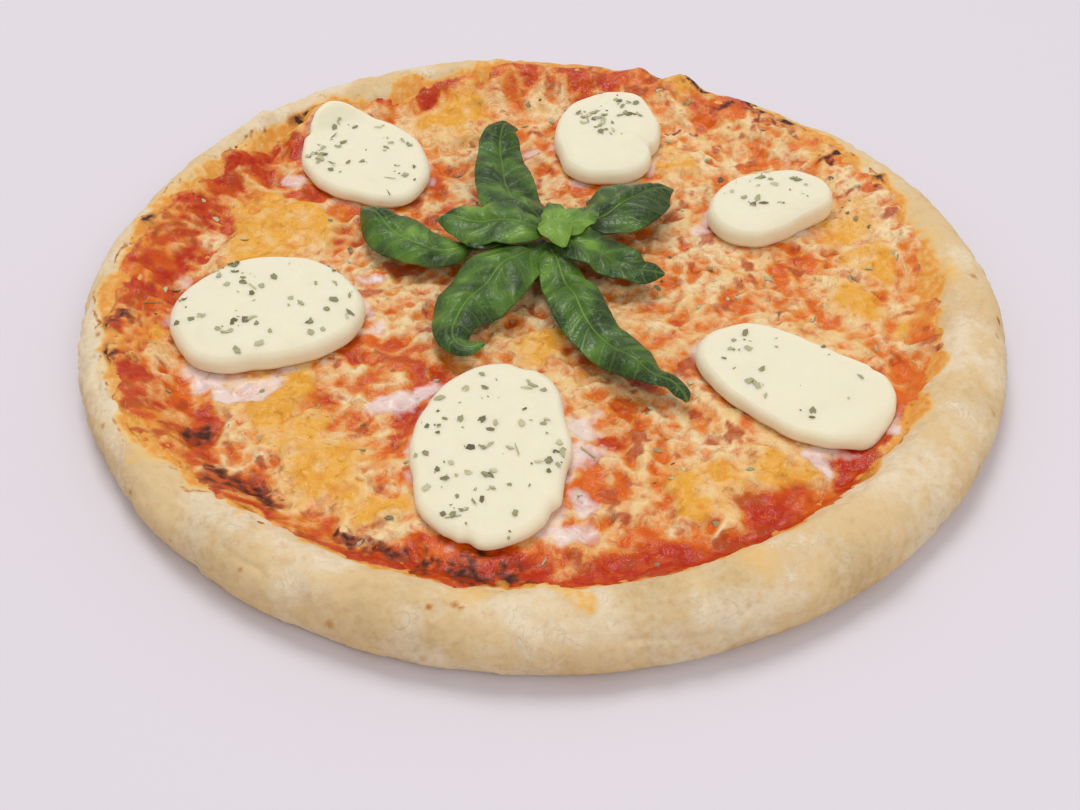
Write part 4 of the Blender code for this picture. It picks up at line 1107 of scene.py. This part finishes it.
def slice_surface(name, look, shares_from):
    """The rings of a slice from its foot, or a share of its profile, to its middle: places and reaches."""
    middle_x, middle_y, depth, _ = SLICES[name]
    outline = slice_outline(name, SLICE_ANGLES)
    profile, _ = along(SLICE_PROFILE, np.linspace(shares_from, 1, SLICE_RINGS))
    rings, reaches = [], []
    for out, up in profile[:-1]:
        reach_x, reach_y = polar(outline * out, SLICE_ANGLES)
        x, y = middle_x + reach_x, middle_y + reach_y
        base = topping_level(x, y) + SLICE_LIFT
        swell = sample("lumps", x, y) + 0.35 * sample("pulp", x, y)
        lean = 1 - 0.15 * (1 - np.sin(np.radians(SLICE_ANGLES))) * out**2
        height = base + depth * up * lean + swell * look.swell / MM * ease(up) * ease((1.04 - out) / 0.3)
        rings.append(np.column_stack([x, y, height]))
        reaches.append(np.full(SLICE_CORNERS, out))
    return rings, reaches


class PIZZA_OT_mozzarella(bpy.types.Operator):
    """Lay the slices of fresh mozzarella"""

    bl_idname = "pizza.mozzarella"
    bl_label = "Mozzarella"

    def execute(self, context):
        """Makes each slice as one soft closed shell that drapes over what it lies on."""
        look = context.scene.pizza_mozzarella
        paint_toppings(context.scene.pizza_toppings)
        material = mozzarella_material(look)
        for name in SLICES:
            rings, reaches = slice_surface(name, look, 0.0)
            middle_x, middle_y = SLICES[name][:2]
            x, y = polar(slice_outline(name, SLICE_ANGLES) * 0.5, SLICE_ANGLES)
            x, y = np.append(x, 0) + middle_x, np.append(y, 0) + middle_y
            under = np.column_stack([x, y, topping_level(x, y) - SLICE_SUNK])
            foot = rings[0]
            foot[:, 2] = np.minimum(foot[:, 2], topping_level(foot[:, 0], foot[:, 1]) - SLICE_SUNK)
            top = (middle_x, middle_y, rings[-1][:, 2].mean())
            places = np.concatenate([under[:-1], *rings, [under[-1], top]])
            # painted shade: the sides of each slice, from 0.9 of its outline outwards, take up to 0.7 of the
            # darker rim colour
            edge = np.concatenate([np.ones(SLICE_CORNERS), *reaches, [1, 0]])
            edge = ease((edge - 0.9) / 0.12) * 0.7
            faces = closed_rings(SLICE_CORNERS, len(rings) + 1)
            piece = new_mesh(name + "_slice", places, faces, material, attributes={"edge": edge})
            finish(piece, name)
        return {"FINISHED"}


def scatter_tree(material):
    """Nodes that strew flakes, crumbs and stalks over a surface, thick where its herb attribute says."""
    tree = bpy.data.node_groups.new("Strewn oregano", "GeometryNodeTree")
    face = tree.interface
    face.new_socket("Geometry", in_out="INPUT", socket_type="NodeSocketGeometry")
    for label, value in (("Density", 1.0), ("Flake", 0.002), ("Stalk share", 0.1), ("Crumb share", 2.0)):
        face.new_socket(label, in_out="INPUT", socket_type="NodeSocketFloat").default_value = value
    face.new_socket("Geometry", in_out="OUTPUT", socket_type="NodeSocketGeometry")
    node = partial(add, tree)
    given = node("NodeGroupInput").node.outputs
    herb = node("GeometryNodeInputNamedAttribute", Name="herb", data_type="FLOAT")
    thick = node(MATH, herb, given["Density"], operation="MULTIPLY")
    sparse = node(MATH, thick, given["Stalk share"], operation="MULTIPLY")
    dense = node(MATH, thick, given["Crumb share"], operation="MULTIPLY")
    chip = node(CYLINDER, Vertices=5, Radius=0.5, Depth=0.08, fill_type="TRIANGLE_FAN")
    stalk = node(CYLINDER, Vertices=5, Radius=0.08, Depth=1.6, fill_type="TRIANGLE_FAN")
    lying = node("GeometryNodeTransform", Geometry=stalk, Rotation=(0, math.pi / 2, 0))
    # Shape, how many, seed, and the least and most of its length, breadth and thickness
    kinds = (
        (chip, thick, 3, (0.4, 0.3, 0.8), (1.25, 0.8, 1.4)),
        (chip, dense, 13, (0.15, 0.1, 0.5), (0.4, 0.3, 1.0)),
        (lying, sparse, 8, (0.4, 0.7, 0.7), (1.1, 1.1, 1.1)),
    )
    tilts = ((-0.3, -0.3, 0), (0.3, 0.3, 2 * math.pi))
    joined = node("GeometryNodeJoinGeometry")
    for shape, density, seed, least, most in kinds:
        points = node(
            "GeometryNodeDistributePointsOnFaces", Mesh=given["Geometry"], Density=density, Seed=seed,
            distribute_method="RANDOM",
        )
        size = node(RANDOM, least, most, Seed=seed + 1, data_type="FLOAT_VECTOR")
        scale = node(VECTORS, size, given["Flake"], operation="SCALE")
        turn = node(RANDOM, *tilts, Seed=seed + 2, data_type="FLOAT_VECTOR")
        flakes = node(
            "GeometryNodeInstanceOnPoints", Points=points, Instance=shape,
            Rotation=points.node.outputs["Rotation"], Scale=scale,
        )
        turned = node("GeometryNodeRotateInstances", Instances=flakes, Rotation=turn)
        tone = node(RANDOM, Seed=seed + 3, data_type="FLOAT")
        toned = node(
            "GeometryNodeStoreNamedAttribute", Geometry=turned, Name="tone", Value=tone, data_type="FLOAT",
            domain="INSTANCE",
        )
        tree.links.new(toned, joined.node.inputs[0])
    real = node("GeometryNodeRealizeInstances", joined)
    crumple_size, crumple_depth = 1.1 * MM, 2 * MM
    crumple = node(NOISE, Scale=1 / crumple_size, noise_dimensions="3D").node.outputs["Color"]
    centred = node(VECTORS, crumple, (0.5, 0.5, 0.42), operation="SUBTRACT")
    push = node(VECTORS, centred, crumple_depth, operation="SCALE")
    bent = node("GeometryNodeSetPosition", Geometry=real, Offset=push)
    flat = node("GeometryNodeSetShadeSmooth", Geometry=bent, **{"Shade Smooth": False})
    painted = node("GeometryNodeSetMaterial", Geometry=flat, Material=material)
    node("NodeGroupOutput", painted)
    return tree


def strewing_grounds(context, material):
    """Copies of the tops that oregano falls on: the slices of mozzarella, and the cheese."""
    places, faces, herb = [], [], []
    for name, (share, shift_x, shift_y, spread) in SPRINKLE.items():
        rings, _ = slice_surface(name, context.scene.pizza_mozzarella, TOP_FROM)
        ring_places = np.concatenate(rings)
        x, y = ring_places[:, 0] - shift_x, ring_places[:, 1] - shift_y
        strewn = share * ease((spread - slice_reach(name, x, y)) / 0.25 + 0.3)
        herb.append(strewn * np.clip(0.7 + 0.9 * sample("lumps", x * 1.3, y * 1.3), 0.05, 2.5))
        faces.append(ring_bands(SLICE_CORNERS, len(rings), sum(map(len, places))))
        places.append(ring_places)
    tops = new_mesh(
        "tops_of_mozzarella", np.concatenate(places), [np.concatenate(faces)], material,
        attributes={"herb": np.concatenate(herb)},
    )
    line = np.linspace(-GROUND_REACH, GROUND_REACH, GROUND_CELLS + 1)
    x, y = (part.ravel() for part in np.meshgrid(line, line))
    top = np.maximum(cheese_top(x, y, context.scene.pizza_toppings.relief / MM), sauce_top(x, y))
    radius, angle = np.hypot(x, y), np.degrees(np.arctan2(y, x))
    strewn = ease((around(SAUCE_RADIUS, angle) - 4 - radius) / 6) * sample("open", x, y)
    strewn = strewn * np.clip(0.8 + 0.8 * sample("lumps", x, y), 0, 2)
    quads, _ = grid_faces(len(line), len(line))
    ground = np.column_stack([x, y, top])
    return tops, new_mesh("top_of_cheese", ground, [quads], material, attributes={"herb": strewn})


class PIZZA_OT_oregano(bpy.types.Operator):
    """Sprinkle dried oregano over the mozzarella and the cheese"""

    bl_idname = "pizza.oregano"
    bl_label = "Oregano"

    def execute(self, context):
        """Strews flakes over copies of the tops, which are then taken away."""
        look = context.scene.pizza_herbs
        paint_toppings(context.scene.pizza_toppings)
        material = herb_material(look)
        tree = scatter_tree(material)
        tops, ground = strewing_grounds(context, material)
        kinds = (("oregano_on_mozzarella", tops, look.density), ("oregano_on_cheese", ground, look.on_cheese))
        inputs = [item for item in tree.interface.items_tree if item.in_out == "INPUT"]
        given = {item.name: item.identifier for item in inputs}
        for label, host, density in kinds:
            strew = host.modifiers.new("Strewn oregano", "NODES")
            strew.node_group = tree
            values = {"Density": density, "Flake": look.flake, "Stalk share": 0.08, "Crumb share": 0.6}
            for key, value in values.items():
                strew[given[key]] = value
            context.view_layer.update()
            mesh = bpy.data.meshes.new_from_object(host.evaluated_get(context.evaluated_depsgraph_get()))
            if not mesh.polygons:
                raise RuntimeError("no oregano was strewn")
            bpy.data.objects.remove(host)
            mesh.name = label
            piece = bpy.data.objects.new(label, mesh)
            context.scene.collection.objects.link(piece)
            finish(piece, None)
        return {"FINISHED"}


def leaf_surface(leaf, look):
    """The middle surface of a leaf: places, normals, surface coordinates and darkness, in rows across it."""
    spine, droop_left, droop_right, turn_start, turn_end, wave, dark_start, dark_end = leaf
    rough, _ = along([point[:3] for point in spine], np.linspace(0, 1, 200))
    length = np.linalg.norm(np.diff(rough, axis=0), axis=1).sum()
    steps = max(14, round(length / LEAF_STEP))
    shares = np.linspace(0, 1, steps + 1)
    points, headings = along(spine, shares)
    travelled = np.concatenate([[0], np.cumsum(np.linalg.norm(np.diff(points[:, :3], axis=0), axis=1))])
    out = np.linspace(-1, 1, LEAF_STRIPS + 1)
    vein_step = look.vein_step / MM
    side = None
    rows = []
    for step, share in enumerate(shares):
        heading = Vector(headings[step][:3]).normalized()
        half_width = max(0.4, points[step][3])
        if side is None:
            side = heading.cross(Vector((0, 0, 1)))
        side = (side - heading * side.dot(heading)).normalized()
        up = side.cross(heading)
        turn = math.radians(turn_start + (turn_end - turn_start) * share)
        across = np.array(side * math.cos(turn) + up * math.sin(turn))
        above = np.array(up * math.cos(turn) - side * math.sin(turn))
        droop = np.radians(np.where(out < 0, droop_left, droop_right)) * np.abs(out)
        droop = np.maximum(droop, 1e-6)
        reach = half_width * out
        fullness = min(1.0, half_width / 8)
        ripple = wave * np.sin(share * 19 + np.where(out < 0, 2, 0)) * out**2 * fullness
        ripple += 0.25 * wave * np.sin(share * 47 + np.where(out < 0, 1, 3)) * np.abs(out) ** 3 * fullness
        away = np.abs(reach)
        phase = (travelled[step] - 0.75 * away) / vein_step
        phase = phase + 0.25 * sample("lumps", reach + 20, 0 * reach + travelled[step])
        quilt = np.abs(np.sin(np.pi * phase)) ** 1.1 * ease(away / 2.5) * (1 - 0.6 * out**2)
        swell = look.quilting / MM * fullness * (quilt - 0.5) - 0.35 * fullness * np.exp(-((away / 0.9) ** 2))
        shift = len(spine) * 11 - 60  # leaves of different length swell differently
        lumps = sample("lumps", 0.9 * reach + shift, 0 * reach + 0.8 * travelled[step] + shift)
        swell += 1.2 * fullness * lumps
        sunk = ripple + swell - away * (1 - np.cos(droop)) / droop
        places = points[step][:3] + across * (reach * np.sin(droop) / droop)[:, None] + above * sunk[:, None]
        lean = np.cos(droop)[:, None] * above + (np.sin(droop) * np.sign(out))[:, None] * across
        spread = np.column_stack([np.full_like(out, travelled[step] / 100), reach / 100])
        dark = np.full_like(out, dark_start + (dark_end - dark_start) * share)
        rows.append((places, lean, spread, dark))
    return [np.array([row[part] for row in rows]) for part in range(4)]


class PIZZA_OT_basil(bpy.types.Operator):
    """Lay the sprig of basil in the middle"""

    bl_idname = "pizza.basil"
    bl_label = "Basil"

    def execute(self, context):
        """Makes each leaf as a thin closed shell, then the stalk that they grow from."""
        look = context.scene.pizza_basil
        paint_toppings(context.scene.pizza_toppings)
        material = basil_material(look)
        for name, leaf in LEAVES.items():
            middle, lean, spread, dark = leaf_surface(leaf, look)
            lean = lean / np.linalg.norm(lean, axis=2, keepdims=True)
            top = (middle + lean * LEAF_THICKNESS / 2).reshape(-1, 3)
            bottom = (middle - lean * LEAF_THICKNESS / 2).reshape(-1, 3)
            quads, here = grid_faces(*middle.shape[:2])
            after = np.roll(here, -1)
            size = len(top)
            wall = np.column_stack([after, here, here + size, after + size])
            faces = [quads, (quads + size)[:, ::-1], wall]
            piece = new_mesh(
                name + "_blade", np.concatenate([top, bottom]), faces, material,
                attributes={"tone": np.tile(dark.ravel(), 2)}, spread=np.tile(spread.reshape(-1, 2), (2, 1)),
            )
            finish(piece, name)
        angle = np.arange(STEM_CORNERS) * 360 / STEM_CORNERS
        parts = []
        for step in range(STEM_RINGS):
            share = step / (STEM_RINGS - 1)
            ribs = 1 + 0.12 * np.cos(np.radians(angle) * 4) + 0.06 * math.sin(step * 1.7)
            x, y = polar(STEM_RADIUS * (1 - 0.3 * share) * ribs, angle)
            centre = [foot + (head - foot) * share for foot, head in zip(STEM_FOOT, STEM_HEAD)]
            parts.append(np.column_stack([x + centre[0], y + centre[1], 0 * angle + centre[2]]))
        places = np.concatenate([*parts, [STEM_FOOT, STEM_HEAD]])
        faces = closed_rings(STEM_CORNERS, STEM_RINGS)
        spread = np.column_stack([places[:, 2] / 100, np.full(len(places), 0.05)])
        tone = np.full(len(places), -0.3)
        piece = new_mesh("basil_stalk", places, faces, material, attributes={"tone": tone}, spread=spread)
        finish(piece, "basil_stem")
        return {"FINISHED"}


class PIZZA_OT_stage(bpy.types.Operator):
    """Set up the floor, the light and the camera"""

    bl_idname = "pizza.stage"
    bl_label = "Stage"

    def execute(self, context):
        """Makes a plain floor, two soft lamps, pale surroundings and the camera."""
        look = context.scene.pizza_stage
        scene = context.scene
        made, shader, _ = new_material("matte_table_top")
        plug(shader, {"Base Color": (*look.floor, 1), "Roughness": 0.7, "Specular IOR Level": 0.2})
        half = 3000
        corners = [(-half, -half, 0), (half, -half, 0), (half, half, 0), (-half, half, 0)]
        floor = new_mesh("floor", corners, [np.array([[0, 1, 2, 3]])], made)
        lamps = (
            ("Key", look.key, (-300, 950, 2350), 1300),
            ("Fill", look.fill, (500, -900, 900), 600),
        )
        for name, power, place, size in lamps:
            data = bpy.data.lights.new(name, "AREA")
            data.energy = power
            data.shape = "DISK"
            data.size = size * MM
            lamp = bpy.data.objects.new(name, data)
            lamp.location = Vector(place) * MM
            lamp.rotation_euler = (-Vector(place)).to_track_quat("-Z", "Y").to_euler()
            scene.collection.objects.link(lamp)
        world = bpy.data.worlds.new("Pale surroundings")
        world.use_nodes = True
        plug(world.node_tree.nodes["Background"], {"Color": (1, 1, 1, 1), "Strength": look.sky})
        scene.world = world
        scene.view_settings.view_transform = "Standard"
        data = bpy.data.cameras.new("Camera")
        data.lens = LENS
        camera = bpy.data.objects.new("Camera", data)
        tilt = math.radians(ELEVATION)
        back = Vector((0, -math.cos(tilt), math.sin(tilt)))
        camera.location = (Vector(TARGET) + back * DISTANCE) * MM
        camera.rotation_euler = (math.pi / 2 - tilt, 0, 0)
        scene.collection.objects.link(camera)
        scene.camera = camera
        return {"FINISHED"}


OPERATORS = (
    PIZZA_OT_dough,
    PIZZA_OT_sauce,
    PIZZA_OT_cheese,
    PIZZA_OT_mozzarella,
    PIZZA_OT_oregano,
    PIZZA_OT_basil,
    PIZZA_OT_stage,
)
LOOKS = {
    "pizza_dough": PizzaDoughLook,
    "pizza_toppings": PizzaToppingLook,
    "pizza_mozzarella": PizzaMozzarellaLook,
    "pizza_herbs": PizzaHerbLook,
    "pizza_basil": PizzaBasilLook,
    "pizza_stage": PizzaStageLook,
}


class PIZZA_PT_sidebar(bpy.types.Panel):
    """Buttons and settings for the pizza"""

    bl_idname = "PIZZA_PT_sidebar"
    bl_label = "Cheese Pizza"
    bl_space_type = "VIEW_3D"
    bl_region_type = "UI"
    bl_category = "Pizza"

    def draw(self, context):
        """Lists the operators, then every setting."""
        for operator in OPERATORS:
            self.layout.operator(operator.bl_idname)
        for name, group in LOOKS.items():
            box = self.layout.box()
            for setting in group.__annotations__:
                box.prop(getattr(context.scene, name), setting)


def register():
    """Registers the settings, the operators and the panel."""
    for group in LOOKS.values():
        bpy.utils.register_class(group)
    for name, group in LOOKS.items():
        setattr(bpy.types.Scene, name, bpy.props.PointerProperty(type=group))
    for operator in OPERATORS:
        bpy.utils.register_class(operator)
    bpy.utils.register_class(PIZZA_PT_sidebar)


def unregister():
    """Takes everything out again."""
    bpy.utils.unregister_class(PIZZA_PT_sidebar)
    for operator in reversed(OPERATORS):
        bpy.utils.unregister_class(operator)
    for name, group in LOOKS.items():
        delattr(bpy.types.Scene, name)
        bpy.utils.unregister_class(group)


def main():
    """Builds the whole pizza."""
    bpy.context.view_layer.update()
    register()
    bpy.ops.pizza.dough()
    bpy.ops.pizza.sauce()
    bpy.ops.pizza.cheese()
    bpy.ops.pizza.mozzarella()
    bpy.ops.pizza.oregano()
    bpy.ops.pizza.basil()
    bpy.ops.pizza.stage()


if __name__ == "__main__":
    main()
